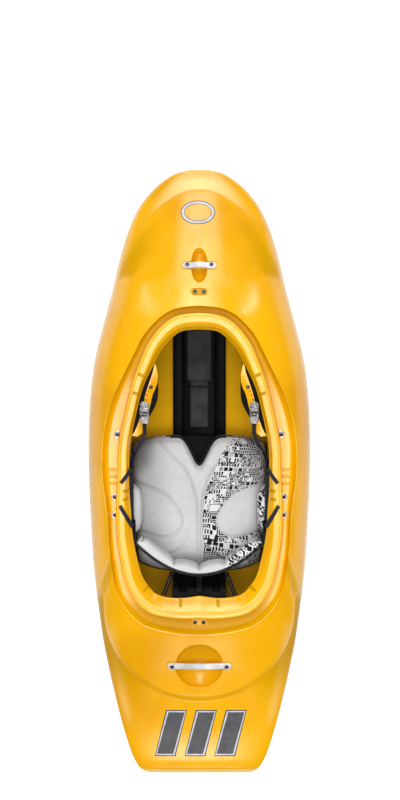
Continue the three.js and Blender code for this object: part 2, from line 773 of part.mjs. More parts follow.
// Webbing down the middle slot of the rear pillar.
const pillarStrapWidth = 17;
const pillarStrapTop = 205;
const pillarStrapBottom = 40;
function pillarStrap() {
  const ring = (z) => {
    const back = pillarFaceY(z) - pillarSlotDepth + SEAT_GAP;
    const half = pillarStrapWidth / 2;
    const face = back + STRAP_THICK;
    return [[-half, back], [half, back], [half, face], [-half, face]].map(([x, y]) => point(x, y, z));
  };
  return loft([ring(pillarStrapBottom), ring(pillarStrapTop)]);
}
piece("rear_pillar_strap", pillarStrap(), webbing);

// The seat's plan: u runs across and v along, from the round back to the notch between the thighs.
const padNotch = 90;
const padNotchWidth = 50;
const padBackRound = 30;
const padFrontRound = 23;
function seatPlan(u, v, grow = 0) {
  const wide = SEAT_WIDTH / 2 - RUN_GAP + grow;
  const x = mix(-wide, wide, u) * (1 - 0.1 * (1 - v) ** 2 - 0.02 * v ** 8);
  const side = Math.abs(2 * u - 1) ** 4;
  const rear = SEAT_REAR_Y - grow + padBackRound * side;
  const notch = padNotch * Math.exp(-((Math.abs(x) / padNotchWidth) ** 2.4));
  const front = SEAT_REAR_Y + SEAT_LENGTH - padFrontRound * side - notch;
  return [x, mix(rear, front, v)];
}

// The seat pan: a platform over the beam, with a wing on each side bolted up under the gutter.
const wingRear = -182;
const wingFront = -30;
const shelfShare = 0.62;
const panTop = floorZ(0) + PAN_HEIGHT;
const panSteps = 12;
function panPlate() {
  const corners = [];
  for (let i = 0; i <= panSteps; i += 1) corners.push(seatPlan(1, 1 - i / panSteps, PAN_WALL));
  for (let i = 1; i <= panSteps; i += 1) corners.push(seatPlan(1 - i / panSteps, 0, PAN_WALL));
  for (let i = 1; i <= panSteps; i += 1) corners.push(seatPlan(0, i / panSteps, PAN_WALL));
  corners.push([0, SEAT_REAR_Y + SEAT_LENGTH]);
  return plate(outline(corners), 0, DECK_HEIGHT);
}
function seatPan() {
  const wide = SEAT_WIDTH / 2 + PAN_WALL;
  const top = panTop;
  const foot = floorZ(0);
  const inner = wide - PAN_WALL;
  const hat = outline([
    [-wide, foot], [-wide, top], [wide, top], [wide, foot], [inner, foot], [inner, top - PAN_WALL],
    [-inner, top - PAN_WALL], [-inner, foot],
  ]);
  const hatShape = solid(run(hat, SEAT_REAR_Y - PAN_WALL, SEAT_REAR_Y + SEAT_LENGTH - PAN_WALL));
  let pan = hatShape.intersect(solid(panPlate()));
  const under = -RISER_HEIGHT - WALL - 2 * SEAT_GAP;
  const layer = (share, z) => rimLoop((turn) => rimPoint(turn, share).setZ(z));
  const shelf = solid(loft([layer(shelfShare, under - PAN_WALL), layer(shelfShare, under)]), rimFrame);
  const below = solid(loft([layer(1, under), layer(1, -DECK_HEIGHT)]), rimFrame);
  for (const side of [-1, 1]) {
    const edges = (a, b) => [side * a, side * b].sort((p, q) => p - q);
    const wing = solid(box(...edges(inner, wide), wingRear, wingFront, top - PAN_WALL, DECK_HEIGHT));
    const flange = solid(box(...edges(inner, HULL_WIDTH / 2), wingRear, wingFront, 0, DECK_HEIGHT));
    pan = pan.add(wing.intersect(below)).add(flange.intersect(shelf));
  }
  return drilled(pan.intersect(hullBody(WALL + SEAT_GAP)), ["side_bolt_2", "side_bolt_3"]);
}
piece("seat_pan", seatPan(), blackPlastic);

// A cushion over a flat base: a fine crown, drawn in to its base all round.
function cushion(across, along, top, baseZ) {
  const points = [];
  const faces = [];
  const at = (i, j) => j * (across + 1) + i;
  for (let j = 0; j <= along; j += 1) {
    for (let i = 0; i <= across; i += 1) points.push(top(i / across, j / along));
  }
  for (let j = 0; j < along; j += 1) {
    for (let i = 0; i < across; i += 1) {
      faces.push([at(i, j), at(i + 1, j), at(i + 1, j + 1)], [at(i, j), at(i + 1, j + 1), at(i, j + 1)]);
    }
  }
  const rim = [];
  for (let i = 0; i < across; i += 1) rim.push(at(i, 0));
  for (let j = 0; j < along; j += 1) rim.push(at(across, j));
  for (let i = across; i > 0; i -= 1) rim.push(at(i, along));
  for (let j = along; j > 0; j -= 1) rim.push(at(0, j));
  const base = points.length;
  for (const index of rim) points.push(points[index].clone().setZ(baseZ));
  const centre = points.length;
  points.push(point(0, points[base].y / 2 + points[base + across + along].y / 2, baseZ));
  rim.forEach((index, k) => {
    const next = (k + 1) % rim.length;
    faces.push([index, base + k, base + next], [index, base + next, rim[next]], [base + k, centre, base + next]);
  });
  return geometryOf(points, faces);
}

// The seat pad: a thick cushion with two thigh lobes, a notch between them, raised hip panels and a middle seam.
const padEdge = 8;
const padSeam = 5;
const padSeamWidth = 9;
const padPanel = 4;
const padPanelPlace = [SEAT_WIDTH * 0.267, SEAT_REAR_Y + SEAT_LENGTH * 0.285];
const padPanelReach = [72, 62];
const padColumnCount = 26;
const padRowCount = 20;
function seatPad() {
  const top = (u, v) => {
    const [x, y] = seatPlan(u, v);
    const side = Math.abs(2 * u - 1);
    const rounding = (1 - side ** 10) ** 0.4 * (1 - Math.abs(2 * v - 1) ** 10) ** 0.4;
    const dish = mix(PAD_SIT, PAD_THIGH, Math.max(ease((v - 0.38) / 0.57), 0.55 * side ** 2.5));
    const seam = padSeam * Math.exp(-((x / padSeamWidth) ** 2)) * ease((0.83 - v) / 0.19);
    const [panelX, panelY] = padPanelPlace;
    const egg = Math.hypot((Math.abs(x) - panelX) / padPanelReach[0], (y - panelY) / padPanelReach[1]);
    const panel = padPanel * ease((1.1 - egg) / 0.2);
    return point(x, y, panTop + SEAT_GAP + mix(padEdge, dish + seam + panel, rounding));
  };
  return cushion(padColumnCount, padRowCount, top, panTop + SEAT_GAP);
}
piece("seat_pad", seatPad(), paleFabric);

// Pads on the wings, thick in the middle and drawn in at their ends.
const hipPadRear = -180;
const hipPadFront = -34;
const hipPadBottom = 112;
const hipPadTop = 190;
const hipPadThick = 34;
const hipPadEdge = 5;
function hipPad(side) {
  const outer = SEAT_WIDTH / 2 - SEAT_GAP;
  const place = (u, v, inward) =>
    point(side * (outer - inward), mix(hipPadRear, hipPadFront, v), mix(hipPadBottom, hipPadTop, u));
  const face = (u, v) => {
    const bulge = (1 - Math.abs(2 * u - 1) ** 3) ** 0.5 * (1 - Math.abs(2 * v - 1) ** 3) ** 0.5;
    return place(u, v, mix(hipPadEdge, hipPadThick, bulge));
  };
  return slab(6, 10, face, (u, v) => place(u, v, 0));
}

// The back band, drawn in the rim's frame: an arc behind the seat, tall in the middle and narrow at its ends.
const bandHalf = SEAT_WIDTH / 2 - 15;
const bandDepth = 96;
const bandEndY = SEAT_REAR_Y + 74;
const bandTop = -30.6;
const bandTall = 128;
const bandEndTall = 28;
const bandPad = 32;
const bandPadEdge = 7;
const bandPadStart = 0.07;
const bandShell = 4;
const bandLean = 14;
function bandPlace(along, out, down) {
  const angle = mix(-Math.PI / 2, Math.PI / 2, along);
  const [sine, cosine] = [Math.sin(angle), Math.cos(angle)];
  const behind = point(2 * bandDepth * sine, -bandHalf, 0).normalize();
  const tall = mix(bandEndTall, bandTall, cosine ** 0.8);
  return point(bandHalf * sine, bandEndY - bandDepth * cosine ** 2, bandTop - tall * down)
    .addScaledVector(behind, out + bandLean * down * cosine);
}
function bandPadShape() {
  const seams = [0.1, 0.362, 0.5, 0.638, 0.9];
  const thick = (along, down) => {
    const near = Math.min(...seams.map((at) => Math.abs(along - at)));
    const crown = (1 - Math.abs(2 * down - 1) ** 4) ** 0.5;
    return mix(bandPadEdge, bandPad, ease(near / 0.05) * crown * ease(Math.min(along, 1 - along) / 0.1));
  };
  const along = (v) => mix(bandPadStart, 1 - bandPadStart, v);
  const lift = (v, u) => -SEAT_GAP - thick(v, u);
  return slab(4, 32, (u, v) => bandPlace(along(v), lift(along(v), u), u), (u, v) => bandPlace(along(v), -SEAT_GAP, u));
}
piece("backband_pad", bandPadShape(), paleFabric, cockpit);
piece(
  "backband_shell",
  slab(4, 32, (u, v) => bandPlace(v, bandShell + SEAT_GAP, u), (u, v) => bandPlace(v, SEAT_GAP, u)),
  blackPlastic,
  cockpit,
);

// Thigh braces: plates beside the rim's inner edge that curl down over the knees, each on a black pad that
// reaches under the rim. v runs forward along the rim, u from the rim inwards.
const braceTurns = [0.186, 0.078];
const plateColumns = 5;
const braceRows = 12;
const braceThick = 5;
const braceCurl = 20;
const braceSlit = 11;
const braceWide = 22;
const bracePadThick = 11;
const padBulge = 16;
const plateWidthShares = [
  [0, 0.75], [0.1, 1.05], [0.32, 0.95], [0.52, 0.92], [0.67, 0.92], [0.81, 1.05], [0.93, 0.7], [1, 0.15],
];
const padBulgeShares = [[0, 0], [0.3, 0.05], [0.43, 0.6], [0.55, 1], [0.64, 0.95], [0.76, 0.4], [0.85, 0], [1, 0]];
const padTopZ = -FLANGE_DROP - WALL - SEAT_GAP;
function bracePlace(side, start, wide, lift) {
  return (u, v) => {
    const turn = mix(braceTurns[0], braceTurns[1], v);
    const inward = start(turn, v) + wide(v) * u;
    const whole = flangeWidth(turn) + braceSlit + braceWide + padBulge - LIP_WIDTH;
    const curl = braceCurl * clamp((inward - LIP_WIDTH - WALL) / whole) ** 2 * (1 - Math.abs(2 * v - 1) ** 4);
    const at = onRim(turn, inward, padTopZ + lift - curl);
    return point(side * at.x, at.y, at.z);
  };
}
const plateStart = (turn, v) => flangeWidth(turn) + braceSlit * (1 - (2 * v - 1) ** 4) + RUN_GAP;
const plateWide = (v) => braceWide * through(plateWidthShares, v);
const padStart = LIP_WIDTH + WALL + 3 * RUN_GAP;
// The plate's bolt and the holes it can move to, as a share along the plate and a share across it.
const braceBolt = [0.755, 0.34];
const braceHoles = [[0.69, 0.28], [0.63, 0.25], [0.57, 0.24], [0.51, 0.24]];
const braceHoleRadius = 2;
function onBrace(side, [v, u], lift = 0) {
  const face = bracePlace(side, plateStart, plateWide, SEAT_GAP + braceThick);
  const step = 0.1;
  const along = face(u, v + step).sub(face(u, v - step)).normalize();
  const up = face(u + step, v).sub(face(u - step, v)).cross(along).normalize();
  if (up.z < 0) up.negate();
  const across = along.clone().cross(up);
  return new THREE.Matrix4().makeBasis(across, along, up).setPosition(face(u, v).addScaledVector(up, lift));
}
function thighBrace(side) {
  const face = (lift) => bracePlace(side, plateStart, plateWide, SEAT_GAP + lift);
  let shape = solid(slab(plateColumns, braceRows, face(braceThick), face(0)));
  for (const hole of braceHoles) shape = shape.subtract(solid(drill(braceHoleRadius), onBrace(side, hole)));
  return shape.subtract(solid(drill(BOLT_RADIUS + SEAT_GAP), onBrace(side, braceBolt)));
}
// The pad's columns run from the riser to the plate, under the plate as the plate's own, and on to its edge.
const padColumns = [0, 2, 2 + plateColumns, 4 + plateColumns];
function thighPad(side) {
  const place = (u, v) => {
    const column = u * padColumns[3];
    const turn = mix(braceTurns[0], braceTurns[1], v);
    const plateEnd = plateStart(turn, v) + plateWide(v);
    const edges = [padStart, plateStart(turn, v), plateEnd, plateEnd + RUN_GAP + padBulge * through(padBulgeShares, v)];
    const part = column < padColumns[1] ? 0 : column < padColumns[2] ? 1 : 2;
    const share = (column - padColumns[part]) / (padColumns[part + 1] - padColumns[part]);
    return mix(edges[part], edges[part + 1], share);
  };
  const face = (lift) => (u, v) => bracePlace(side, () => place(u, v), () => 0, lift)(u, v);
  return solid(slab(padColumns[3], braceRows, face(0), face(-bracePadThick))).subtract(
    solid(drill(BOLT_RADIUS + SEAT_GAP), onBrace(side, braceBolt)),
  );
}

// The ratchet buckle, drawn with its strap running along y over the floor of its channel.
const ratchetPlace = bracePlace(1, plateStart, plateWide, 0)(0.45, 0.4);
const ratchetX = ratchetPlace.x;
const ratchetRear = ratchetPlace.y - RATCHET_LENGTH / 2;
const ratchetFloor = 2;
const cheekThick = 2.5;
const cheekHeight = 17;
const pivotY = 37;
const pivotZ = 12;
const pinRadius = 2;
const gearRadius = 6;
const gearTeeth = 9;
const leverThick = 3;
const leverReach = 62;
const pawlY = 12;
const pawlZ = 9.5;
const pawlRadius = 2.6;
const paddleReach = 14;
const paddleThick = 2;
// The ratchet rests on the highest place of the plate that lies under its base.
function ratchetSeat() {
  const face = bracePlace(1, plateStart, plateWide, SEAT_GAP + braceThick);
  const heights = [];
  const steps = 20;
  for (let i = 0; i <= steps; i += 1) {
    for (let j = 0; j <= steps; j += 1) {
      const at = face(i / steps, j / steps);
      const under = at.y > ratchetRear && at.y < ratchetRear + RATCHET_LENGTH;
      if (under && Math.abs(at.x - ratchetX) < RATCHET_WIDTH / 2) heights.push(at.z);
    }
  }
  return Math.max(...heights) + RUN_GAP;
}
const ratchetZ = ratchetSeat();
const strapZ = ratchetZ + ratchetFloor + SEAT_GAP;
const toothHeight = 0.8;
const channel = RATCHET_WIDTH / 2 - cheekThick;

// A side view drawn in y and z, given its width along x.
const sideView = (corners, wide) =>
  new THREE.ExtrudeGeometry(outline(corners), { depth: wide, bevelEnabled: false })
    .translate(0, 0, -wide / 2)
    .applyMatrix4(new THREE.Matrix4().set(0, 0, 1, 0, 1, 0, 0, 0, 0, 1, 0, 0, 0, 0, 0, 1));
const crossPin = (radius, wide, y, z, sides = 10) =>
  new THREE.CylinderGeometry(radius, radius, wide, sides).rotateZ(Math.PI / 2).translate(0, y, z);

function ratchetBase() {
  const section = outline([
    [-RATCHET_WIDTH / 2, 0], [RATCHET_WIDTH / 2, 0], [RATCHET_WIDTH / 2, cheekHeight], [channel, cheekHeight],
    [channel, ratchetFloor], [-channel, ratchetFloor], [-channel, cheekHeight], [-RATCHET_WIDTH / 2, cheekHeight],
  ]);
  const side = sideView(
    [
      [0, 0], [RATCHET_LENGTH, 0], [RATCHET_LENGTH, ratchetFloor], [pivotY + gearRadius * 2, ratchetFloor],
      [pivotY + gearRadius, cheekHeight], [pivotY - gearRadius, cheekHeight],
      [pawlY + pawlRadius * 3, pawlZ + pawlRadius], [pawlY - pawlRadius * 3, pawlZ + pawlRadius],
      [pawlRadius, ratchetFloor], [0, ratchetFloor],
    ],
    RATCHET_WIDTH + OVERRUN,
  );
  return solid(run(section, 0, RATCHET_LENGTH))
    .intersect(solid(side))
    .subtract(solid(crossPin(pinRadius + SEAT_GAP, OVERRUN, pivotY, pivotZ)))
    .subtract(solid(crossPin(pinRadius + SEAT_GAP, OVERRUN, pawlY, pawlZ)));
}

function ratchetLever() {
  const wide = 2 * (channel - RUN_GAP);
  const gear = [];
  for (let i = 0; i < gearTeeth * 2; i += 1) {
    const angle = (i / gearTeeth) * Math.PI;
    const radius = i % 2 ? gearRadius * 0.75 : gearRadius;
    gear.push([pivotY + radius * Math.sin(angle), pivotZ + radius * Math.cos(angle)]);
  }
  const top = cheekHeight + leverThick;
  const arm = sideView(
    [
      [pivotY - gearRadius, pivotZ], [pivotY - gearRadius, top - leverThick / 2], [pivotY - gearRadius / 2, top],
      [leverReach - leverThick, top - leverThick / 2], [leverReach, top - leverThick],
      [leverReach - leverThick, top - 2 * leverThick],
      [pivotY + gearRadius, top - 1.5 * leverThick], [pivotY + gearRadius / 2, pivotZ],
    ],
    wide,
  );
  const waist = plate(
    outline([
      [-wide / 2, 0], [-wide / 2, pivotY + gearRadius], [-wide * 0.34, pivotY + gearRadius * 2],
      [-wide * 0.5, leverReach - gearRadius], [-wide * 0.3, leverReach], [wide * 0.3, leverReach],
      [wide * 0.5, leverReach - gearRadius], [wide * 0.34, pivotY + gearRadius * 2],
      [wide / 2, pivotY + gearRadius], [wide / 2, 0],
    ]),
    -OVERRUN,
    OVERRUN,
  );
  return solid(arm)
    .intersect(solid(waist))
    .add(solid(sideView(gear, wide)))
    .add(solid(crossPin(pinRadius, RATCHET_WIDTH, pivotY, pivotZ)));
}

function ratchetRelease() {
  const wide = 2 * (channel - RUN_GAP);
  const high = pawlZ + pawlRadius;
  const paddle = sideView(
    [
      [pawlY - paddleReach, high + 2 * paddleThick], [pawlY - paddleReach, high + paddleThick],
      [pawlY - pawlRadius, high - paddleThick],
      [pawlY, pawlZ - pawlRadius], [pawlY + pawlRadius * 2.4, strapZ - ratchetZ + STRAP_THICK + toothHeight + SEAT_GAP],
      [pawlY + pawlRadius * 2.4, pawlZ], [pawlY, high],
    ],
    wide,
  );
  return solid(paddle).add(solid(crossPin(pinRadius, RATCHET_WIDTH, pawlY, pawlZ)));
}

// The ladder strap: straight and toothed through the ratchet, then out and down along the rim to the back band.
const strapEndY = ratchetRear + RATCHET_LENGTH + 2 * STRAP_THICK;
// How far behind the ratchet the strap bends and dips, and how far before the band's end it swings in.
const strapBendReach = [32, 115];
const strapDipReach = [75, 130];
const strapBackReach = [90, 30];
const strapBend = strapBendReach.map((reach) => ratchetRear - reach);
const strapDip = strapDipReach.map((reach) => ratchetRear - reach);
const strapFarX = SEAT_WIDTH / 2 - SEAT_GAP - STRAP_WIDTH / 2 - RUN_GAP;
const strapBandX = bandHalf + STRAP_THICK;
const strapBack = strapBackReach.map((reach) => bandEndY + reach);
const strapLowZ = -46;
function ladderStrap(side) {
  const places = [];
  const pitch = STRAP_WIDTH / 2;
  for (let y = strapEndY; y > strapBend[0]; y -= pitch / 2) places.push(y);
  const rest = 12;
  const last = bandEndY + RUN_GAP;
  for (let i = 0; i <= rest; i += 1) places.push(mix(strapBend[0], last, i / rest));
  const rings = places.map((y, i) => {
    const far = mix(strapFarX, strapBandX, ease((strapBack[0] - y) / (strapBack[0] - strapBack[1])));
    const x = side * mix(ratchetX, far, ease((strapBend[0] - y) / (strapBend[0] - strapBend[1])));
    const z = mix(strapZ, strapLowZ, ease((strapDip[0] - y) / (strapDip[0] - strapDip[1])));
    const top = z + STRAP_THICK + (i % 2 && y > strapBend[0] ? toothHeight : 0);
    const half = STRAP_WIDTH / 2;
    return [point(x - half, y, z), point(x + half, y, z), point(x + half, y, top), point(x - half, y, top)];
  });
  return loft(rings);
}

// Height of the rim's upper face at a place in plan, in the rim's frame, and how far the place is past its inner edge.
function onRimFace(x, y) {
  const half = Math.atan2(Math.abs(x) / rimWiden, y) / Math.PI;
  const turn = half / 2;
  const square = rimPoint(turn).normalize().dot(onRim(turn, -1).sub(onRim(turn, 0)).setZ(0).normalize());
  const inward = (rimPoint(turn).length() - Math.hypot(x, y)) * square;
  const riser = LIP_WIDTH + WALL;
  const edge = flangeWidth(turn);
  const rounding = LIP_THICK * 0.3;
  const outer = mix(0, -rounding, clamp(inward / riser));
  const inner = mix(-rounding, -FLANGE_DROP, clamp((inward - riser) / (edge - riser)));
  return { height: inward < riser ? outer : inner, past: inward - edge };
}

const tailLift = 0.8;
// Webbing tails that come up over the rim's inner edge from a buckle and lie on the rim, each place given as a
// turn round the rim and how far it lies in from the rim's outer edge.
const tailEnd = 12;
const upperReach = 40;
const lowerReach = 50;
const tails = [
  { name: "upper", from: [0.28, tailEnd], to: [0.253, upperReach], buckle: [0.252, upperReach - tailLift * 2] },
  {
    name: "lower",
    from: [0.319, tailEnd],
    to: [0.352, lowerReach - tailLift * 3],
    buckle: [0.351, lowerReach + tailLift * 2],
  },
];
const tailWidth = 11;
const tailThick = 1.5;
const tailShift = 3.5;
const tailDip = 5;
function strapTail({ from, to }, side) {
  const start = onRim(...from);
  const end = onRim(...to);
  const across = end.clone().sub(start).normalize().cross(point(0, 0, 1));
  const place = (u, v, up) => {
    const at = start.clone().lerp(end, v).addScaledVector(across, (u - 0.5) * tailWidth);
    const { height, past } = onRimFace(at.x, at.y);
    const high = Math.max(height, onRimFace(at.x + tailShift, at.y).height) + tailLift;
    return point(side * at.x, at.y, mix(high, padTopZ + SEAT_GAP, clamp((past - tailLift) / tailDip)) + up);
  };
  return slab(2, 14, (u, v) => place(u, v, tailThick), (u, v) => place(u, v, 0));
}

// A flat buckle with two slots for its webbing.
const buckleSize = [16, 38, 3.5];
function buckle([wide, long, thick]) {
  const slot = box(-wide * 0.3, wide * 0.3, long * 0.12, long * 0.3, -thick, thick * 2);
  const frame = solid(box(-wide / 2, wide / 2, -long / 2, long / 2, 0, thick));
  return frame.subtract(solid(slot)).subtract(solid(slot.clone().rotateZ(Math.PI)));
}

// The elastic loops that hold the back band up: a small buckle on the band, and a doubled cord back to the rim.
const loopCord = 1.8;
const loopWidth = 9;
const loopZ = padTopZ - loopCord;
const loopBuckleSize = [14, 11, 6];
const loopAlong = 0.631;
const loopTurn = 0.458;
const loopTuck = 5;
const loopHalf = loopWidth / 2 + loopCord;
// The way from the band's back to the rim, and how far along it the buckle's and the loop's middles lie.
const bandBack = (along) => bandPlace(along, bandShell + SEAT_GAP, 0).setZ(0);
const loopStart = bandBack(loopAlong);
const loopEnd = onRim(loopTurn, flangeWidth(loopTurn) - loopTuck);
const loopWay = loopEnd.clone().sub(loopStart).normalize();
const bandWay = bandBack(loopAlong + 0.01).sub(loopStart).normalize();
const slant = Math.abs(bandWay.dot(loopWay)) / Math.abs(bandWay.clone().cross(loopWay).z);
const buckleMiddle = RUN_GAP + (loopBuckleSize[0] / 2) * slant + loopBuckleSize[1] / 2;
const loopMiddle = buckleMiddle + loopBuckleSize[1] / 2 + SEAT_GAP + loopHalf;
function rearLoop(side) {
  const front = loopStart.clone().addScaledVector(loopWay, loopMiddle);
  const length = loopEnd.distanceTo(front);
  const route = [];
  const turns = 5;
  for (let i = 0; i <= turns; i += 1) {
    const angle = (i / turns) * Math.PI;
    route.push([length + (loopWidth / 2) * Math.sin(angle), (loopWidth / 2) * Math.cos(angle)]);
  }
  for (let i = 0; i <= turns; i += 1) {
    const angle = Math.PI + (i / turns) * Math.PI;
    route.push([(loopWidth / 2) * Math.sin(angle), (loopWidth / 2) * Math.cos(angle)]);
  }
  const rings = route.map(([a, b], i) => {
    const before = route[(i + route.length - 1) % route.length];
    const after = route[(i + 1) % route.length];
    const out = point(after[1] - before[1], before[0] - after[0], 0).normalize();
    const ring = [];
    for (let k = 0; k < 6; k += 1) {
      const angle = (k / 6) * 2 * Math.PI;
      ring.push(point(a, b, loopCord * Math.sin(angle)).addScaledVector(out, loopCord * Math.cos(angle)));
    }
    return ring;
  });
  const turned = loft(rings, true).rotateZ(Math.atan2(loopWay.y, loopWay.x)).translate(front.x, front.y, loopZ);
  return mirrored(turned, side);
}

function mirrored(geometry, side) {
  if (side > 0) return geometry;
  const copy = geometry.clone().scale(-1, 1, 1);
  const order = [...copy.index.array];
  for (let i = 0; i < order.length; i += 3) [order[i + 1], order[i + 2]] = [order[i + 2], order[i + 1]];
  return copy.setIndex(order);
}

for (const [word, side] of [["left", -1], ["right", 1]]) {
  piece(`hip_pad_${word}`, hipPad(side), paleFabric);
  piece(`thigh_brace_${word}`, thighBrace(side), yellowPlastic, cockpit);
  piece(`thigh_pad_${word}`, thighPad(side), blackFoam, cockpit);
  piece(`thigh_bolt_${word}`, bolt(braceThick * 2, false), boltSteel, cockpit).applyMatrix4(onBrace(side, braceBolt, RUN_GAP));
  piece(`ladder_strap_${word}`, ladderStrap(side), blackPlastic, cockpit);

  const ratchet = new THREE.Group();
  ratchet.position.set(side * ratchetX, ratchetRear, ratchetZ);
  cockpit.add(ratchet);
  piece(`ratchet_base_${word}`, ratchetBase(), castMetal, ratchet);
  piece(`ratchet_lever_${word}`, ratchetLever(), castMetal, ratchet);
  piece(`ratchet_release_${word}`, ratchetRelease(), castMetal, ratchet);

  for (const tail of tails) {
    piece(`${tail.name}_tail_${word}`, strapTail(tail, side), webbing, cockpit);
    const clip = piece(`${tail.name}_buckle_${word}`, buckle(buckleSize), blackPlastic, cockpit);
    const at = onRim(...tail.buckle);
    clip.position.set(side * at.x, at.y, padTopZ - buckleSize[2]);
  }
  piece(`rear_loop_${word}`, rearLoop(side), webbing, cockpit);
  const clip = piece(`rear_loop_buckle_${word}`, buckle(loopBuckleSize), blackPlastic, cockpit);
  const at = loopStart.clone().addScaledVector(loopWay, buckleMiddle);
  clip.position.set(side * at.x, at.y, loopZ - loopBuckleSize[2] / 2);
  clip.rotation.z = -side * Math.atan2(-loopWay.x, -loopWay.y);
}

export default kayak;
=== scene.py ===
# The look of a whitewater playboat kayak: a fine hull, cushions, webbing and fittings over the fixed frame.
# Sizes are in millimetres in the tables and formulas, and in metres once they reach a mesh.
import json
import math

import bmesh
import bpy
import numpy as np
from mathutils import Matrix, Vector

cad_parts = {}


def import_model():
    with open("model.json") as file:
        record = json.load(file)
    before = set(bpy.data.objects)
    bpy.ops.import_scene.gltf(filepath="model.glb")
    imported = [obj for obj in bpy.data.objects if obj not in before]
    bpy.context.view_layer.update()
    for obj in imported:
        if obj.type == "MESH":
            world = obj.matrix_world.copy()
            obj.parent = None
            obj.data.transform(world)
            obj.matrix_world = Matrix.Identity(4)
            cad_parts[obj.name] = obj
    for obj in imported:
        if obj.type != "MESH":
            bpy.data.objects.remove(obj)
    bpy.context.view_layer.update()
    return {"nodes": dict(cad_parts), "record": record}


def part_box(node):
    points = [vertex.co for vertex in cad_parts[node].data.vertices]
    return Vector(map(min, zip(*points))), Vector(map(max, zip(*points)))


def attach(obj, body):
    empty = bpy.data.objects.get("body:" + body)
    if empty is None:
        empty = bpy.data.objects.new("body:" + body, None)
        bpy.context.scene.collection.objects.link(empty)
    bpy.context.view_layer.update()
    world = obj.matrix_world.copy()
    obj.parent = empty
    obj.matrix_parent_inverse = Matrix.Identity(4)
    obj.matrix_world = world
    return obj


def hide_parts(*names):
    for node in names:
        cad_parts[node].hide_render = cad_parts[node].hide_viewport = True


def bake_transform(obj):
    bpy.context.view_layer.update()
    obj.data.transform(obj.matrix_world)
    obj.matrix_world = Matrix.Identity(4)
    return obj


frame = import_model()
nodes = frame["nodes"]
MM = 0.001
SIDES = (("left", -1), ("right", 1))

# The hull's sizes, the same as the frame's.
HULL_LENGTH = 1780
HULL_WIDTH = 650
DECK_HEIGHT = 340
WALL = 5
BOW_ROCKER = 120
STERN_ROCKER = 78
FLAT_LENGTH = 500
CHINE_LIFT = 12
TIP_RADIUS = 46
TIP_FLAT_SHARE = 0.05
PANEL_DEPTH = 6
REAR_STEP = 9

# The cockpit rim and its gutter.
RIM_LENGTH = 886
RIM_WIDTH = HULL_WIDTH * 0.739
RIM_CENTRE_Y = 20
RIM_CENTRE_Z = DECK_HEIGHT - 48
RIM_TILT = math.asin(105 / RIM_LENGTH)
RIM_WIDEN = RIM_WIDTH / (RIM_LENGTH * 0.542)
LIP_WIDTH = 20
LIP_THICK = 6
RISER_HEIGHT = 32
FLANGE_WIDTH = 50
FLANGE_DROP = 21
LIP_ROUND_SHARE = 0.3

# Grab handles and bolts.
BAR_WIDTH = 18
BAR_THICK = 5
BAR_END = 14
BOW_HANDLE_Y = HULL_LENGTH * 0.336
STERN_HANDLE_Y = -HULL_LENGTH * 0.317
BOW_BAR_LENGTH = 97
STERN_BAR_LENGTH = 187
BOW_WELL = (23, 55, 32)
STERN_WELL = (69, 69, 38)
RECESS_DEPTH = 3.5
RECESS_MARGIN = 4
FRONT_BOLT_Y = HULL_LENGTH * 0.2927
REAR_BOLT_SHARE = 0.34
BOLT_SPACING = 25
BOLT_HEAD = 6
SIDE_BOLT_TURNS = (0.191, 0.307, 0.335)
SIDE_BOLT_SHARE = 0.15
REAR_BOLT_LIFT = 2.4

# Outfitting.
SEAT_WIDTH = RIM_WIDTH - 2 * 38.2
SEAT_LENGTH = 407
SEAT_REAR_Y = -298
PAD_SIT = 38
PAD_THIGH = 74
PAD_EDGE = 8
PAD_NOTCH = 85
PAD_NOTCH_WIDTH = 46
PAD_NOTCH_ROUND = 34
PAD_NOTCH_POWER = 2.9
PAD_BACK_ROUND = 30
PAD_FRONT_ROUND = 23
PAD_SEAM = 5
PAD_SEAM_WIDTH = 9
PAD_PANEL = 4
PAD_PANEL_PLACE = (SEAT_WIDTH * 0.267, SEAT_REAR_Y + SEAT_LENGTH * 0.285)
PAD_PANEL_REACH = (72, 62)
HIP_PAD_THICK = 34
HIP_PAD_EDGE = 5
BAND_HALF = SEAT_WIDTH / 2 - 15
BAND_DEPTH = 96
BAND_END_Y = SEAT_REAR_Y + 74
BAND_TOP = -30.6
BAND_TALL = 128
BAND_END_TALL = 28
BAND_PAD = 32
BAND_PAD_EDGE = 7
BAND_PAD_START = 0.07
BAND_LEAN = 14
BAND_SHELL = 4
SEAT_GAP = 0.3
RUN_GAP = 0.6
STRAP_THICK = 2.4

# Hull lines, each as [share of the length from the stern, share of the size].
HALF_WIDTH_SHARES = [
    [0, 0.46], [0.004, 0.515], [0.01, 0.552], [0.019, 0.583], [0.03, 0.613], [0.054, 0.657],
    [0.087, 0.711], [0.12, 0.757], [0.154, 0.802], [0.187, 0.839], [0.22, 0.875], [0.255, 0.902],
    [0.33, 0.952], [0.405, 0.979], [0.5, 1], [0.58, 1], [0.65, 0.975], [0.7, 0.93], [0.755, 0.853],
    [0.8, 0.788], [0.85, 0.725], [0.9, 0.642], [0.935, 0.555], [0.96, 0.455], [0.978, 0.352],
    [0.99, 0.257], [0.996, 0.18], [1, 0.077],
]
RIDGE_SHARES = [
    [0, 0.41], [0.05, 0.425], [0.107, 0.46], [0.163, 0.525], [0.208, 0.6], [0.236, 0.65], [0.275, 0.71],
    [0.315, 0.8], [0.36, 0.92], [0.416, 0.985], [0.5, 1], [0.612, 1.01], [0.725, 1], [0.764, 0.985],
    [0.81, 0.92], [0.865, 0.8], [0.92, 0.67], [0.966, 0.58], [1, 0.53],
]
RAIL_SHARES = [[0, 0.355], [0.2, 0.345], [0.35, 0.365], [0.5, 0.385], [0.7, 0.41], [0.85, 0.435], [1, 0.46]]
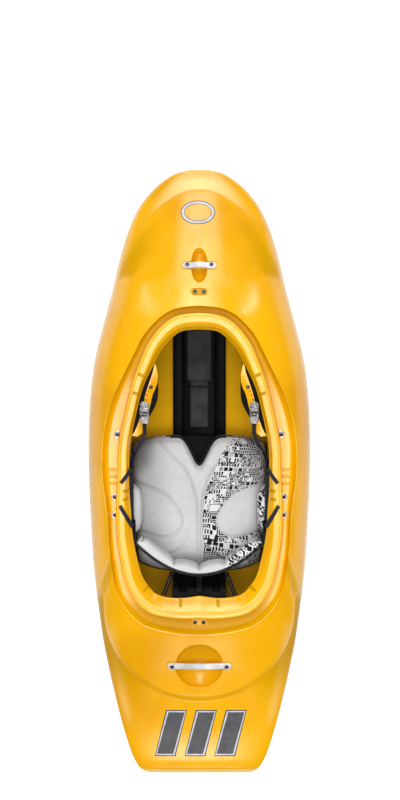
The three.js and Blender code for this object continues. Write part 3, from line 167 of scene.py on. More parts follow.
CROWN_POWERS = [[0, 3], [0.25, 2.6], [0.4, 2.8], [0.65, 2.8], [0.8, 2.3], [1, 2]]
CHINE_SHARES = [[0, 0.7], [0.2, 0.78], [0.5, 0.82], [0.8, 0.76], [1, 0.6]]


def even(values):
    """Values at even steps, as pairs of share and value."""
    return [[i / (len(values) - 1), value] for i, value in enumerate(values)]


RIM_RADIUS_SHARES = even([
    1, 0.984, 0.895, 0.775, 0.686, 0.617, 0.575, 0.55, 0.535, 0.528, 0.541, 0.573, 0.624, 0.701, 0.8,
    0.928, 1.012, 1.013, 1,
])
GUTTER_SHARES = even([
    0.041, 0.045, 0.055, 0.066, 0.08, 0.1, 0.108, 0.106, 0.104, 0.098, 0.088, 0.07, 0.058, 0.063,
    0.082, 0.1, 0.096, 0.1, 0.112,
])
FLANGE_SHARES = [
    [0, 0.98], [0.1, 0.92], [0.22, 0.7], [0.35, 0.68], [0.45, 0.66], [0.55, 0.68], [0.66, 0.86],
    [0.77, 0.95], [0.89, 1.12], [0.94, 1.12], [1, 1.26],
]
# The gutter's height over its floor, as shares of the riser, at shares of its width.
GUTTER_PROFILE = np.array([[-1, 0], [0.5, 0], [0.68, 0.03], [0.85, 0.2], [1, 0.5], [1.2, 4.75], [3, 43]])
BRIM_BLEND = 13
BRIM_BEAD = 2.2
BRIM_OUT = 16
BRIM_SPREAD = 16
SOFT_EDGE = 2.6
OUT_OF_REACH = 500


# Curves and numbers.
def through(shares, place):
    """A smooth curve through pairs of place and value."""
    table = np.array(shares, float)
    xs, ys = table[:, 0], table[:, 1]
    place = np.asarray(place, float)
    last = len(xs) - 1
    i = np.searchsorted(xs[1:-1], place, side="left")
    before, after = np.maximum(np.arange(last + 1) - 1, 0), np.minimum(np.arange(last + 1) + 1, last)
    slopes = (ys[after] - ys[before]) / (xs[after] - xs[before])
    step = xs[i + 1] - xs[i]
    t = np.clip((place - xs[i]) / step, 0, 1)
    smooth = 3 * t**2 - 2 * t**3
    ends = slopes[i] * step * (t**3 - 2 * t**2 + t) + slopes[i + 1] * step * (t**3 - t**2)
    return ys[i] * (1 - smooth) + ys[i + 1] * smooth + ends


def mix(a, b, share):
    return a + (b - a) * share


def ease(value):
    t = np.clip(value, 0, 1)
    return t * t * (3 - 2 * t)


def rising(value, start, width):
    """0 up to a start, then up to 1 over a width."""
    return ease((value - start) / width)


def falling(value, end, width):
    """1 until a width before an end, then down to 0."""
    return ease((end - value) / width)


def hump(value, width):
    """1 where a value is 0, falling smoothly away on both sides."""
    return np.exp(-((value / width) ** 2))


def crowned(share, power, root=0.5):
    """1 in the middle of a run of shares, falling round to 0 at both ends."""
    return (1 - np.abs(2 * share - 1) ** power) ** root


def together(*values):
    """Coordinates side by side, as one array of places."""
    return np.stack(np.broadcast_arrays(*values), -1)


def unit(ways):
    return ways / np.linalg.norm(ways, axis=-1, keepdims=True)


def unit_grid(columns, rows):
    """Shares across and along, over a grid."""
    return np.meshgrid(np.linspace(0, 1, columns), np.linspace(0, 1, rows))


def lower_of(a, b, blend):
    """The lower of two heights, with a round corner between them."""
    share = np.clip(0.5 + 0.5 * (b - a) / blend, 0, 1)
    return mix(b, a, share) - blend * share * (1 - share)


def curve_through(corners, steps=14):
    """A smooth line of points through corners."""
    spots = np.array(corners, float)
    table = np.arange(len(spots))
    fine = np.linspace(0, len(spots) - 1, (len(spots) - 1) * steps + 1)
    return together(*(through(together(table, column), fine) for column in spots.T))


def from_line(x, y, corners):
    """Distance in plan from a bent line."""
    nearest = np.full(np.shape(x), float(OUT_OF_REACH))
    for (x0, y0), (x1, y1) in zip(corners, corners[1:]):
        span = (x1 - x0) ** 2 + (y1 - y0) ** 2
        t = np.clip(((x - x0) * (x1 - x0) + (y - y0) * (y1 - y0)) / span, 0, 1)
        nearest = np.minimum(nearest, np.hypot(x - x0 - t * (x1 - x0), y - y0 - t * (y1 - y0)))
    return nearest


# The hull's surface, the same formulas as the frame's.
def along_hull(y):
    return np.clip(np.asarray(y, float) / HULL_LENGTH + 0.5, 0, 1)


def half_width(y):
    return HULL_WIDTH / 2 * through(HALF_WIDTH_SHARES, along_hull(y))


def rail_height(y):
    return DECK_HEIGHT * through(RAIL_SHARES, along_hull(y))


def ridge_height(y):
    return DECK_HEIGHT * through(RIDGE_SHARES, along_hull(y))


def keel_height(y):
    reach = np.maximum(0, np.abs(y) - FLAT_LENGTH / 2) / (HULL_LENGTH / 2 - FLAT_LENGTH / 2)
    return np.where(np.asarray(y) > 0, BOW_ROCKER, STERN_ROCKER) * reach**2


def tip_height(y):
    reach = np.clip((HULL_LENGTH / 2 - np.abs(y)) / TIP_RADIUS + TIP_FLAT_SHARE, 0, 1)
    return np.sqrt(1 - (1 - reach) ** 2)


# The deck's relief. Each edge has its place and its width, in shares of the half width or of the length.
PANEL_OUTER_SHARES = (0.92, 0.08)
PANEL_INNER_SHARES = (0.25, 0.35)
PANEL_REAR_SHARES = (0.815, 0.008)
PANEL_FRONT_SHARES = (0.965, 0.03)
PLATEAU_START_SHARES = (0.275, 0.05)
PLATEAU_REACH_SHARE = 0.151
PLATEAU_HALF_WIDTH = HULL_WIDTH * 0.43
PLATEAU_EDGE_SHARES = (0.96, 0.05)
STERN_FADE_SHARE = 0.08
# The folds beside the afterdeck, where the plateau meets the sides: two ridges from one corner.
FOLD_LINES = ([(250, -222), (291, -345)], [(250, -222), (262, -300), (262, -345)])
FOLD_HEIGHT = 5
FOLD_WIDTH = 6
# The nose's edge crosses the middle here and bends back by this much times the square of the distance out.
NOSE_EDGE = (822, 0.00355)
NOSE_STEP = 2.5
NOSE_STEP_WIDTH = 7
STERN_LIP_Y = -HULL_LENGTH / 2 + 16
STERN_LIP = 2.5
STERN_LIP_WIDTH = 4


def plateau_share(x, place):
    """How far out a place is on the round plateau of the afterdeck; its edge is at 1."""
    down = np.maximum(0, (PLATEAU_START_SHARES[0] - place) / PLATEAU_REACH_SHARE)
    return np.hypot(down, np.abs(x) / PLATEAU_HALF_WIDTH)


def past_nose_edge(x, y):
    return y - NOSE_EDGE[0] + NOSE_EDGE[1] * x**2


def relief(x, y):
    """The foredeck's sunk panels, the afterdeck's plateau with its folds, the stern lip and the nose step."""
    side = np.abs(x) / half_width(y)
    place = along_hull(y)
    panel = falling(side, *PANEL_OUTER_SHARES) * rising(side, *PANEL_INNER_SHARES)
    panel = panel * (rising(place, *PANEL_REAR_SHARES) * falling(place, *PANEL_FRONT_SHARES))
    step = rising(plateau_share(x, place), *PLATEAU_EDGE_SHARES) * falling(place, *PLATEAU_START_SHARES)
    folds = sum(hump(from_line(np.abs(x), y, line), FOLD_WIDTH) for line in FOLD_LINES)
    lip = falling(y, STERN_LIP_Y, STERN_LIP_WIDTH)
    nose = rising(past_nose_edge(x, y), 0, NOSE_STEP_WIDTH)
    raised = FOLD_HEIGHT * folds - STERN_LIP * lip - NOSE_STEP * nose
    return raised - PANEL_DEPTH * panel - REAR_STEP * step * ease(place / STERN_FADE_SHARE)


def plain_deck(x, y):
    side = np.clip(np.abs(x) / half_width(y), 0, 1)
    power = through(CROWN_POWERS, along_hull(y))
    crown = (1 - side**power) ** (1 / power)
    rail = rail_height(y)
    return rail + ((ridge_height(y) - rail) * crown + relief(x, y) * crown) * tip_height(y)


def deck_slope(y):
    return float(plain_deck(0, y + WALL) - plain_deck(0, y - WALL)) / (2 * WALL)


def in_slot(x, y, length, width, soft):
    """1 inside a slot with round ends, falling to 0 over a soft edge."""
    reach = length / 2 - width / 2
    away = np.hypot(np.maximum(np.abs(x) - reach, 0), y) - width / 2
    return ease(0.5 - away / soft)


DECK_SEATS = (
    (BOW_HANDLE_Y, BOW_BAR_LENGTH, BAR_WIDTH, BOW_WELL),
    (STERN_HANDLE_Y, STERN_BAR_LENGTH, BAR_WIDTH, STERN_WELL),
    (FRONT_BOLT_Y, BOLT_SPACING + BOLT_HEAD * 2, BOLT_HEAD * 2, None),
)


def deck_height(x, y):
    """The deck with its handle wells, bar recesses and bolt seat."""
    z = plain_deck(x, y)
    for centre, length, width, well in DECK_SEATS:
        slope = deck_slope(centre)
        level = float(plain_deck(0, centre)) + slope * (y - centre)
        along = (y - centre) * math.hypot(1, slope)
        near = np.abs(y - centre) < HULL_WIDTH / 4
        if well:
            rim = 1 - (x / well[0]) ** 2 - (along / well[1]) ** 2
            bowl = level - well[2] * np.sqrt(np.maximum(rim, 0)) + np.where(rim > 0, 0, OUT_OF_REACH)
            z = np.where(near, lower_of(z, bowl, SOFT_EDGE), z)
        floor = level - RECESS_DEPTH
        inside = in_slot(x, along, length + 2 * RECESS_MARGIN, width + 2 * RECESS_MARGIN, SOFT_EDGE) * near
        z = mix(z, np.minimum(z, floor), inside)
    return z


# The cockpit rim, in its own leaning frame.
def half_turn(turn):
    return np.where(turn <= 0.5, turn * 2, 2 - turn * 2)


def rim_point(turn, beyond=0.0):
    """A place on the rim's outer edge at a share of a turn, or beyond it by a share of the gutter."""
    turn = np.asarray(turn, float)
    half = half_turn(turn)
    radius = RIM_LENGTH / 2 * (through(RIM_RADIUS_SHARES, half) + beyond * through(GUTTER_SHARES, half))
    angle = turn * 2 * np.pi
    return together(radius * np.sin(angle) * RIM_WIDEN, radius * np.cos(angle))


SMALL_TURN = 0.002


def on_rim(turn, inward):
    """A place some way in from the rim's outer edge, square to it."""
    turn = np.asarray(turn, float)
    ahead = rim_point((turn + SMALL_TURN) % 1) - rim_point((turn - SMALL_TURN) % 1)
    towards = unit(together(ahead[..., 1], -ahead[..., 0]))
    return rim_point(turn) + towards * np.asarray(inward)[..., None]


def flange_width(turn):
    return FLANGE_WIDTH * through(FLANGE_SHARES, half_turn(turn))


LEAN, RISE = math.cos(RIM_TILT), math.sin(RIM_TILT)
RIM_FRAME = Matrix.Translation((0, RIM_CENTRE_Y, RIM_CENTRE_Z)) @ Matrix.Rotation(RIM_TILT, 4, "X")


def to_world(x, y, z):
    """From the rim's frame to the boat's."""
    return x, RIM_CENTRE_Y + y * LEAN - z * RISE, RIM_CENTRE_Z + y * RISE + z * LEAN


def gutter_height(x, y):
    """Height of the gutter's floor and outer wall over a place in plan."""
    up = np.full(np.shape(x), -float(RISER_HEIGHT))
    for _ in range(3):
        along = (y - RIM_CENTRE_Y + np.minimum(up, 0) * RISE) / LEAN
        half = np.arctan2(np.abs(x) / RIM_WIDEN, along) / np.pi
        out = np.hypot(x / RIM_WIDEN, along) / (RIM_LENGTH / 2) - through(RIM_RADIUS_SHARES, half)
        share = out / through(GUTTER_SHARES, half)
        up = RISER_HEIGHT * (np.interp(share, GUTTER_PROFILE[:, 0], GUTTER_PROFILE[:, 1]) - 1)
    return RIM_CENTRE_Z + along * RISE + up * LEAN


def rim_face(x, y):
    """Height of the rim's upper face over a place in its frame, and how far that is past the inner edge."""
    half = np.arctan2(np.abs(x) / RIM_WIDEN, y) / np.pi
    turn = half / 2
    edge_point = rim_point(turn)
    reach = np.linalg.norm(edge_point, axis=-1)
    way_in = on_rim(turn, np.full(np.shape(turn), -1.0)) - edge_point
    square = np.abs(np.sum(edge_point * way_in, axis=-1)) / reach
    inward = (reach - np.hypot(x, y)) * square
    riser = LIP_WIDTH + WALL
    edge = flange_width(turn)
    rounding = LIP_THICK * LIP_ROUND_SHARE
    outer = mix(0, -rounding, np.clip(inward / riser, 0, 1))
    inner = mix(-rounding, -FLANGE_DROP, np.clip((inward - riser) / (edge - riser), 0, 1))
    return np.where(inward < riser, outer, inner), inward - edge


def on_deck(y):
    """A frame on the deck's middle line, its z square to the deck."""
    place = Matrix.Translation((0, y, float(plain_deck(0, y))))
    return place @ Matrix.Rotation(math.atan(deck_slope(y)), 4, "X")


# Meshes.
def add_object(name, data):
    made = bpy.data.objects.new(name, data)
    bpy.context.scene.collection.objects.link(made)
    return made


def dressed_object(name, mesh, finish, body="hull"):
    """A mesh as a smoothly shaded object that rides on a body."""
    mesh.materials.clear()
    mesh.materials.append(finish)
    mesh.polygons.foreach_set("use_smooth", [True] * len(mesh.polygons))
    made = add_object(name, mesh)
    if body:
        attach(made, body)
    return made


def mesh_object(name, points, faces, finish, body="hull"):
    """Points in millimetres as one mesh that rides on a body."""
    mesh = bpy.data.meshes.new(name)
    mesh.from_pydata((np.asarray(points, float) * MM).tolist(), [], [list(map(int, f)) for f in faces])
    mesh.validate()
    return dressed_object(name, mesh, finish, body)


def stands_for(node):
    """Shows a piece in place of the frame's node."""
    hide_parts(node)


def face_outwards(made):
    tidy = bmesh.new()
    tidy.from_mesh(made.data)
    bmesh.ops.recalc_face_normals(tidy, faces=tidy.faces)
    tidy.to_mesh(made.data)
    tidy.free()


def mark(made, word, values):
    layer = made.data.attributes.new(word, "FLOAT", "POINT")
    layer.data.foreach_set("value", np.asarray(values, float).ravel())


def grid_faces(rows, columns, start=0, flip=False):
    faces = []
    for j in range(rows - 1):
        for i in range(columns - 1):
            a = start + j * columns + i
            face = (a, a + 1, a + columns + 1, a + columns)
            faces.append(face[::-1] if flip else face)
    return faces


def ring_faces(rings, size, closed=False):
    """Faces between rings of points; a closed row of rings joins its last to its first."""
    faces = []
    for r in range(rings if closed else rings - 1):
        here, ahead = r * size, (r + 1) % rings * size
        for k in range(size):
            n = (k + 1) % size
            faces.append((here + k, here + n, ahead + n, ahead + k))
    return faces


def closed_grid(name, top, base, finish, body="hull", marks=None):
    """A closed form from a grid of upper points and the matching lower points."""
    rows, columns = top.shape[:2]
    count = rows * columns
    points = np.concatenate([top.reshape(-1, 3), base.reshape(-1, 3)])
    faces = grid_faces(rows, columns) + grid_faces(rows, columns, count, True)
    edge = list(range(columns)) + [(j + 1) * columns - 1 for j in range(1, rows)]
    edge += [(rows - 1) * columns + i for i in range(columns - 2, -1, -1)]
    edge += [j * columns for j in range(rows - 2, 0, -1)]
    for a, b in zip(edge, edge[1:] + edge[:1]):
        faces.append((b, a, count + a, count + b))
    made = mesh_object(name, points, faces, finish, body)
    for word, values in (marks or {}).items():
        mark(made, word, np.concatenate([values.ravel(), values.ravel()]))
    face_outwards(made)
    return made


def tube(name, path, radius, finish, body="hull", sides=12, closed=False):
    """A round tube along a line of points."""
    path = np.asarray(path, float)
    ahead = (np.roll(path, -1, axis=0) - np.roll(path, 1, axis=0)) if closed else np.gradient(path, axis=0)
    ahead = unit(ahead)
    across = np.cross(ahead, [0.0, 0.0, 1.0])
    across /= np.maximum(np.linalg.norm(across, axis=1, keepdims=True), 1e-6)
    lift = np.cross(across, ahead)
    angles = np.linspace(0, 2 * np.pi, sides, endpoint=False)
    circle = np.cos(angles)[:, None] * across[:, None] + np.sin(angles)[:, None] * lift[:, None]
    points = (path[:, None] + radius * circle).reshape(-1, 3)
    faces = ring_faces(len(path), sides, closed)
    if not closed:
        faces.append(tuple(range(sides))[::-1])
        faces.append(tuple((len(path) - 1) * sides + k for k in range(sides)))
    made = mesh_object(name, points, faces, finish, body)
    face_outwards(made)
    return made


# Materials: each one's colour, roughness and bump come from nodes.
def feed(tree, socket, value):
    """Sets one input of a node to a number, a colour or another node's output."""
    if isinstance(value, bpy.types.NodeSocket):
        tree.links.new(value, socket)
    else:
        socket.default_value = (*value, 1) if socket.type == "RGBA" else value


def wire(tree, node, **inputs):
    """Sets a node's inputs by name, with an underscore for each space."""
    for word, value in inputs.items():
        feed(tree, node.inputs[word.replace("_", " ")], value)


def add_node(tree, kind, **inputs):
    made = tree.nodes.new(f"ShaderNode{kind}")
    wire(tree, made, **inputs)
    return made


def material(name, color, roughness, **inputs):
    """A new material, with its tree and its shader."""
    made = bpy.data.materials.new(name)
    made.use_nodes = True
    tree = made.node_tree
    shader = tree.nodes["Principled BSDF"]
    wire(tree, shader, Base_Color=color, Roughness=roughness, **inputs)
    return made, tree, shader


def placed(tree, stretch=(1, 1, 1)):
    """The piece's own coordinates, stretched."""
    own = tree.nodes.new("ShaderNodeTexCoord").outputs["Object"]
    return add_node(tree, "Mapping", Vector=own, Scale=stretch).outputs["Vector"]


def wrapped(tree, stretch=(1, 1, 1), slant=0.0):
    """The piece's own coordinates with the height added, so that a print also runs down a side."""
    own = tree.nodes.new("ShaderNodeTexCoord").outputs["Object"]
    x, y, z = add_node(tree, "SeparateXYZ", Vector=own).outputs
    joined = add_node(tree, "CombineXYZ", X=math_node(tree, "SUBTRACT", x, z), Y=math_node(tree, "ADD", y, z))
    turned = add_node(tree, "Mapping", Vector=joined.outputs[0], Scale=stretch, Rotation=(0, 0, slant))
    return turned.outputs["Vector"]


def noise(tree, scale, detail=4.0, stretch=(1, 1, 1)):
    made = add_node(tree, "TexNoise", Scale=scale, Detail=detail, Vector=placed(tree, stretch))
    return made.outputs["Fac"]


def grey(value):
    return (value, value, value)


def scaled(color, share):
    return tuple(c * share for c in color)


def ramp(tree, value, *stops):
    """Colours or greys along a value, each with its place."""
    made = add_node(tree, "ValToRGB", Fac=value)
    elements = made.color_ramp.elements
    while len(elements) < len(stops):
        elements.new(0.5)
    for element, (place, color) in zip(elements, stops):
        element.position = place
        element.color = (*(color if isinstance(color, tuple) else grey(color)), 1)
    return made.outputs["Color"]


def math_node(tree, operation, a, b=0):
    made = tree.nodes.new("ShaderNodeMath")
    made.operation = operation
    feed(tree, made.inputs[0], a)
    feed(tree, made.inputs[1], b)
    return made.outputs[0]


def blended(tree, where, under, over):
    """Colour under, with colour over laid on it where a value is high."""
    made = tree.nodes.new("ShaderNodeMix")
    made.data_type = "RGBA"
    wire(tree, made, Factor=where, A=under, B=over)
    return made.outputs["Result"]


def painted_mark(tree, word):
    made = tree.nodes.new("ShaderNodeAttribute")
    made.attribute_name = word
    return made.outputs["Fac"]


def bump(tree, shader, height, strength, distance):
    made = add_node(tree, "Bump", Height=height, Strength=strength, Distance=distance)
    wire(tree, shader, Normal=made.outputs["Normal"])


AMBER = (0.94, 0.45, 0.0)
AMBER_DARK = (0.84, 0.385, 0.0)
AMBER_BRIGHT = (0.97, 0.48, 0.0)
# The colours of the hull's painted shade and painted highlight.
AMBER_PAINTED_SHADE = (0.53, 0.275, 0.0)
AMBER_PAINTED_HIGHLIGHT = (1.0, 0.66, 0.22)
# Darker amber for the flange's bars: painted shade, as in a recess.
AMBER_RIB_SHADE = (0.62, 0.30, 0.0)
AMBER_INSIDE = (0.80, 0.42, 0.0)
AMBER_GLINT = (1, 1, 0.84)


def hull_finish(name="moulded_amber", shaded=True, color=AMBER, shine=0.85):
    """Moulded polyethylene: clouded amber, finely scuffed, with painted shade and painted highlight where
    marked.
    """
    made, tree, shader = material(name, color, 0.3, Specular_IOR_Level=shine, Specular_Tint=AMBER_GLINT)
    if color == AMBER:
        color = ramp(tree, noise(tree, 3.4, 3), (0.36, AMBER_DARK), (0.5, AMBER), (0.68, AMBER_BRIGHT))
    else:
        color = ramp(tree, noise(tree, 20, 3), (0.3, scaled(color, 0.9)), (0.7, color))
    if shaded:
        # Painted shade darkens the colour and dulls the gloss where it is marked; painted highlight makes the
        # colour paler.
        painted_shade = painted_mark(tree, "painted_shade")
        wire(tree, shader, Specular_IOR_Level=ramp(tree, painted_shade, (0.1, shine), (0.6, 0.12)))
        color = blended(tree, painted_mark(tree, "painted_highlight"), color, AMBER_PAINTED_HIGHLIGHT)
        color = blended(tree, painted_shade, color, AMBER_PAINTED_SHADE)
    scuffs = ramp(tree, noise(tree, 30, 6, (1, 0.25, 1)), (0.35, 0.17), (0.65, 0.28))
    wire(tree, shader, Base_Color=color, Roughness=scuffs)
    bump(tree, shader, noise(tree, 900, 2), 0.04, 0.0004)
    return made


def inside_finish():
    """The rough inner skin, with the grain of the moulding powder."""
    made, tree, shader = material("moulded_inside", AMBER_INSIDE, 0.7, Specular_IOR_Level=0.15)
    cloud = ramp(tree, noise(tree, 7, 4), (0.3, scaled(AMBER_INSIDE, 0.85)), (0.7, AMBER_INSIDE))
    wire(tree, shader, Base_Color=cloud)
    bump(tree, shader, noise(tree, 260, 4), 0.3, 0.001)
    return made


def foam_finish(name, value):
    """Closed-cell foam: matt, with fine cells."""
    made, tree, shader = material(name, grey(value), 0.8, Specular_IOR_Level=0.1)
    cells = add_node(tree, "TexVoronoi", Scale=620, Vector=placed(tree))
    worn = ramp(tree, noise(tree, 22, 5), (0.35, value * 0.75), (0.7, value * 1.35))
    wire(tree, shader, Base_Color=worn)
    bump(tree, shader, cells.outputs["Distance"], 0.5, 0.0006)
    return made


def plastic_finish(name, color, roughness, grain=0.15, shine=0.5):
    made, tree, shader = material(name, color, roughness, Specular_IOR_Level=shine)
    gloss = ramp(tree, noise(tree, 18, 4), (0.3, roughness * 0.8), (0.7, roughness * 1.2))
    shade = ramp(tree, noise(tree, 60, 5), (0.3, scaled(color, 0.8)), (0.7, scaled(color, 1.2)))
    wire(tree, shader, Roughness=gloss, Base_Color=shade)
    bump(tree, shader, noise(tree, 1200, 2), grain, 0.0003)
    return made


def metal_finish(name, color, roughness, pits, lump_scale=260, depth=0.0015):
    made, tree, shader = material(name, color, roughness, Metallic=1.0)
    lumps = noise(tree, lump_scale, 5)
    gloss = ramp(tree, lumps, (0.35, roughness * 0.7), (0.65, roughness * 1.5))
    shade = ramp(tree, lumps, (0.3, scaled(color, 0.7)), (0.6, color))
    wire(tree, shader, Roughness=gloss, Base_Color=shade)
    bump(tree, shader, lumps, pits, depth)
    return made


def woven(tree, scale):
    """Height of a plain weave, from two crossed waves."""
    waves = []
    for direction in ("X", "Y"):
        wave = add_node(tree, "TexWave", Scale=scale, Vector=placed(tree))
        wave.bands_direction = direction
        waves.append(wave.outputs["Fac"])
    return math_node(tree, "MULTIPLY", *waves)


def webbing_finish(name="webbing_weave", dark=(0.012, 0.014, 0.02), light=(0.06, 0.07, 0.095), scale=300):
    made, tree, shader = material(name, light, 0.75, Sheen_Weight=0.05, Specular_IOR_Level=0.15)
    weave = woven(tree, scale)
    wire(tree, shader, Base_Color=ramp(tree, weave, (0, dark), (1, light)))
    bump(tree, shader, weave, 0.6, 0.0005)
    return made


# The print's three sizes of block: slant, row height and block length in metres, and the share left dark.
PRINT_LAYERS = ((0.06, 0.0165, 0.008, 0.8), (math.pi / 2, 0.011, 0.0075, 0.6), (0.1, 0.0075, 0.0065, 0.82))


def print_blocks(tree, slant, row, long, dark):
    """Rows of blocks, some dark and some pale, drawn apart by pale joints."""
    bricks = add_node(
        tree, "TexBrick", Scale=1, Brick_Width=long, Row_Height=row, Mortar_Size=row * 0.1, Mortar_Smooth=0.1,
        Bias=0.5 - dark, Color1=grey(0), Color2=grey(1), Mortar=grey(1), Vector=wrapped(tree, slant=slant),
    )
    bricks.offset_frequency = 2
    bricks.squash = 1.8
    bricks.squash_frequency = 3
    return bricks.outputs["Color"]


def print_pattern(tree):
    """A generic print of bars, blocks and rings, black on pale grey, that changes from patch to patch."""
    big, middle, small = (print_blocks(tree, *layer) for layer in PRINT_LAYERS)
    patch = add_node(tree, "TexVoronoi", Scale=21, Vector=wrapped(tree, (1, 1.5, 0.001), 0.12))
    patch.distance = "CHEBYCHEV"
    pick, ring_pick, _ = add_node(tree, "SeparateColor", Color=patch.outputs["Color"]).outputs
    apart = math_node(tree, "ABSOLUTE", math_node(tree, "SUBTRACT", big, middle))
    marks = blended(tree, math_node(tree, "GREATER_THAN", pick, 0.36), big, apart)
    marks = blended(tree, math_node(tree, "GREATER_THAN", pick, 0.66), marks, small)
    rings = math_node(tree, "SINE", math_node(tree, "MULTIPLY", patch.outputs["Distance"], 42))
    ring_color = ramp(tree, rings, (0.45, 0), (0.55, 1))
    marks = blended(tree, math_node(tree, "GREATER_THAN", ring_pick, 0.8), marks, ring_color)
    return ramp(tree, marks, (0.42, 0.008), (0.58, 0.8))


PIPING_DARK = (0.012, 0.013, 0.018)
SHADOW_GREY = 0.16


def cushion_finish():
    """Stretch knit over foam: pale grey, with a printed part, a dark bound edge and painted shadows where
    marked.
    """
    made, tree, shader = material("cushion_knit", grey(0.6), 0.62, Specular_IOR_Level=0.15, Sheen_Weight=0.15)
    knit = ramp(tree, noise(tree, 60, 5), (0.3, 0.61), (0.7, 0.67))
    color = blended(tree, painted_mark(tree, "printed"), knit, print_pattern(tree))
    color = blended(tree, painted_mark(tree, "shadow"), color, grey(SHADOW_GREY))
    color = blended(tree, painted_mark(tree, "piping"), color, PIPING_DARK)
    wire(tree, shader, Base_Color=color)
    bump(tree, shader, woven(tree, 420), 0.22, 0.0003)
    return made


def bar_finish():
    """White paint on metal, worn in streaks along the bar."""
    made, tree, shader = material("painted_white_bar", grey(0.8), 0.25, Coat_Weight=0.4)
    wire(tree, shader, Base_Color=ramp(tree, noise(tree, 45, 6, (0.3, 1, 1)), (0.4, 0.55), (0.58, 0.86)))
    bump(tree, shader, noise(tree, 500, 3), 0.1, 0.0003)
    return made


hull_amber = hull_finish()
brace_amber = hull_finish("brace_amber", False)
rib_amber_painted_shade = hull_finish("rib_amber_painted_shade", False, AMBER_RIB_SHADE, 0.05)
hull_inside = inside_finish()
pillar_foam = foam_finish("pillar_foam", 0.010)
block_foam = foam_finish("block_foam", 0.045)
black_plastic = plastic_finish("black_moulded", grey(0.006), 0.28, 0.1, 0.02)
shell_plastic = plastic_finish("shell_grey", grey(0.03), 0.5, 0.15, 0.2)
strap_plastic = plastic_finish("strap_black", (0.010, 0.012, 0.018), 0.4, 0.15, 0.12)
cast_metal = metal_finish("cast_bright", grey(0.62), 0.3, 1.0, 150, 0.006)
bolt_steel = metal_finish("bolt_blue_steel", (0.36, 0.42, 0.54), 0.25, 0.05)
washer_steel = metal_finish("washer_bright", grey(0.82), 0.22, 0.05)
socket_dark = plastic_finish("socket_shadow", (0.01, 0.012, 0.02), 0.6)
webbing = webbing_finish()
elastic = webbing_finish("elastic_braid", (0.004, 0.005, 0.009), (0.016, 0.018, 0.028), 520)
thread = plastic_finish("thread", (0.10, 0.11, 0.14), 0.7)
cushion_knit = cushion_finish()
piping_cloth = webbing_finish("piping_cloth", (0.008, 0.009, 0.012), (0.03, 0.032, 0.04), 420)
painted_bar = bar_finish()
badge_dark = plastic_finish("badge_dark", (0.045, 0.05, 0.075), 0.4)
badge_pale = plastic_finish("badge_pale", (0.62, 0.64, 0.70), 0.35)
badge_grey = plastic_finish("badge_grey", (0.09, 0.09, 0.095), 0.5, 0.5)

# The camera looks straight down on the boat, bow up.
CAMERA_X = 0.002
VIEW_CENTRE_Y = 0.213
CAMERA_HEIGHT = 5.0
VIEW_HALF_SHARE = 6.07e-4 * 400
SENSOR_HEIGHT = 24


def camera():
    data = bpy.data.cameras.new("camera")
    data.sensor_fit = "VERTICAL"
    data.sensor_height = SENSOR_HEIGHT
    data.lens = SENSOR_HEIGHT / 2 / VIEW_HALF_SHARE
    made = add_object("camera", data)
    made.location = (CAMERA_X, VIEW_CENTRE_Y, CAMERA_HEIGHT)
    bpy.context.scene.camera = made


camera()

# The hull as one sheet: from the rim's inner edge out over the lip, down into the gutter, over the deck to
# the rail, and under the boat to the middle of the floor.
TURNS = 440
DECK_RINGS = 84
FLOOR_RINGS = 34
GUTTER_RINGS = (0.1, 0.3, 0.5, 0.6, 0.68, 0.76, 0.84, 0.9, 0.95, 1, 1.04, 1.08, 1.12, 1.16, 1.2)
LIP_PROFILE = [
    (22, -1.0), (17, -0.6), (12, -0.9), (9, -0.7), (7.4, 0.1), (5.4, 0.5), (3.4, 0.2), (1.8, -0.7),
    (0.7, -1.9), (0.1, -3.0), (0, -3.8), (0.3, -4.6), (1, -5.4), (2.4, -5.9), (5, -6), (12, -6),
    (17, -6.1), (19, -7), (20, -9), (20, -15), (20, -22), (20, -27), (19.4, -30), (17.6, -31.6),
    (14, -32), (8, -32), (2, -32),
]
# The flange's turned-in edge, each place as how far back from the edge and how far below the lip it is.
FLANGE_EDGE = ((0.8, FLANGE_DROP + 4.5), (0, FLANGE_DROP + 3), (0.2, FLANGE_DROP), (1.2, FLANGE_DROP * 0.93))
FALL_SHARES = (0, 0.12, 0.25, 0.4, 0.55, 0.7, 0.82, 0.91, 0.97, 1)
FALL_ENDS = (3, 1)
FALL_DROP_SHARES = (0.9, 0.03)
FALL_CROWN = 2.6
FALL_CROWN_SHARE = 0.4


def rim_profile(edge):
    """Places across the rim, from its inner edge out: how far in from the lip, and how far up."""
    places = [(edge - back, -down) for back, down in FLANGE_EDGE]
    for share in FALL_SHARES:
        crown = FALL_CROWN * np.sin(share * np.pi) * (1 - share * FALL_CROWN_SHARE)
        inward = mix(edge - FALL_ENDS[0], LIP_WIDTH + WALL + FALL_ENDS[1], share)
        places.append((inward, crown - FLANGE_DROP * mix(*FALL_DROP_SHARES, share)))
    return places + LIP_PROFILE


def outline_radius(angle):
    """How far the boat's outline is from the rim's centre, in the direction of an angle from the bow."""
    ys = -HULL_LENGTH / 2 * np.cos(np.linspace(0, np.pi, 3000))
    xs = half_width(ys)
    ends = 60
    xs = np.concatenate([np.linspace(0, xs[0], ends), xs[1:-1], np.linspace(xs[-1], 0, ends)])
    ys = np.concatenate([np.full(ends, ys[0]), ys[1:-1], np.full(ends, ys[-1])])
    angles = np.arctan2(xs, ys - RIM_CENTRE_Y)
    order = np.argsort(angles)
    return np.interp(np.abs(angle), angles[order], np.hypot(xs, ys - RIM_CENTRE_Y)[order])


FLAT_SHARE = 0.85
FLARE_SHARE = 0.72
FLARE_HEIGHT_SHARE = 0.45


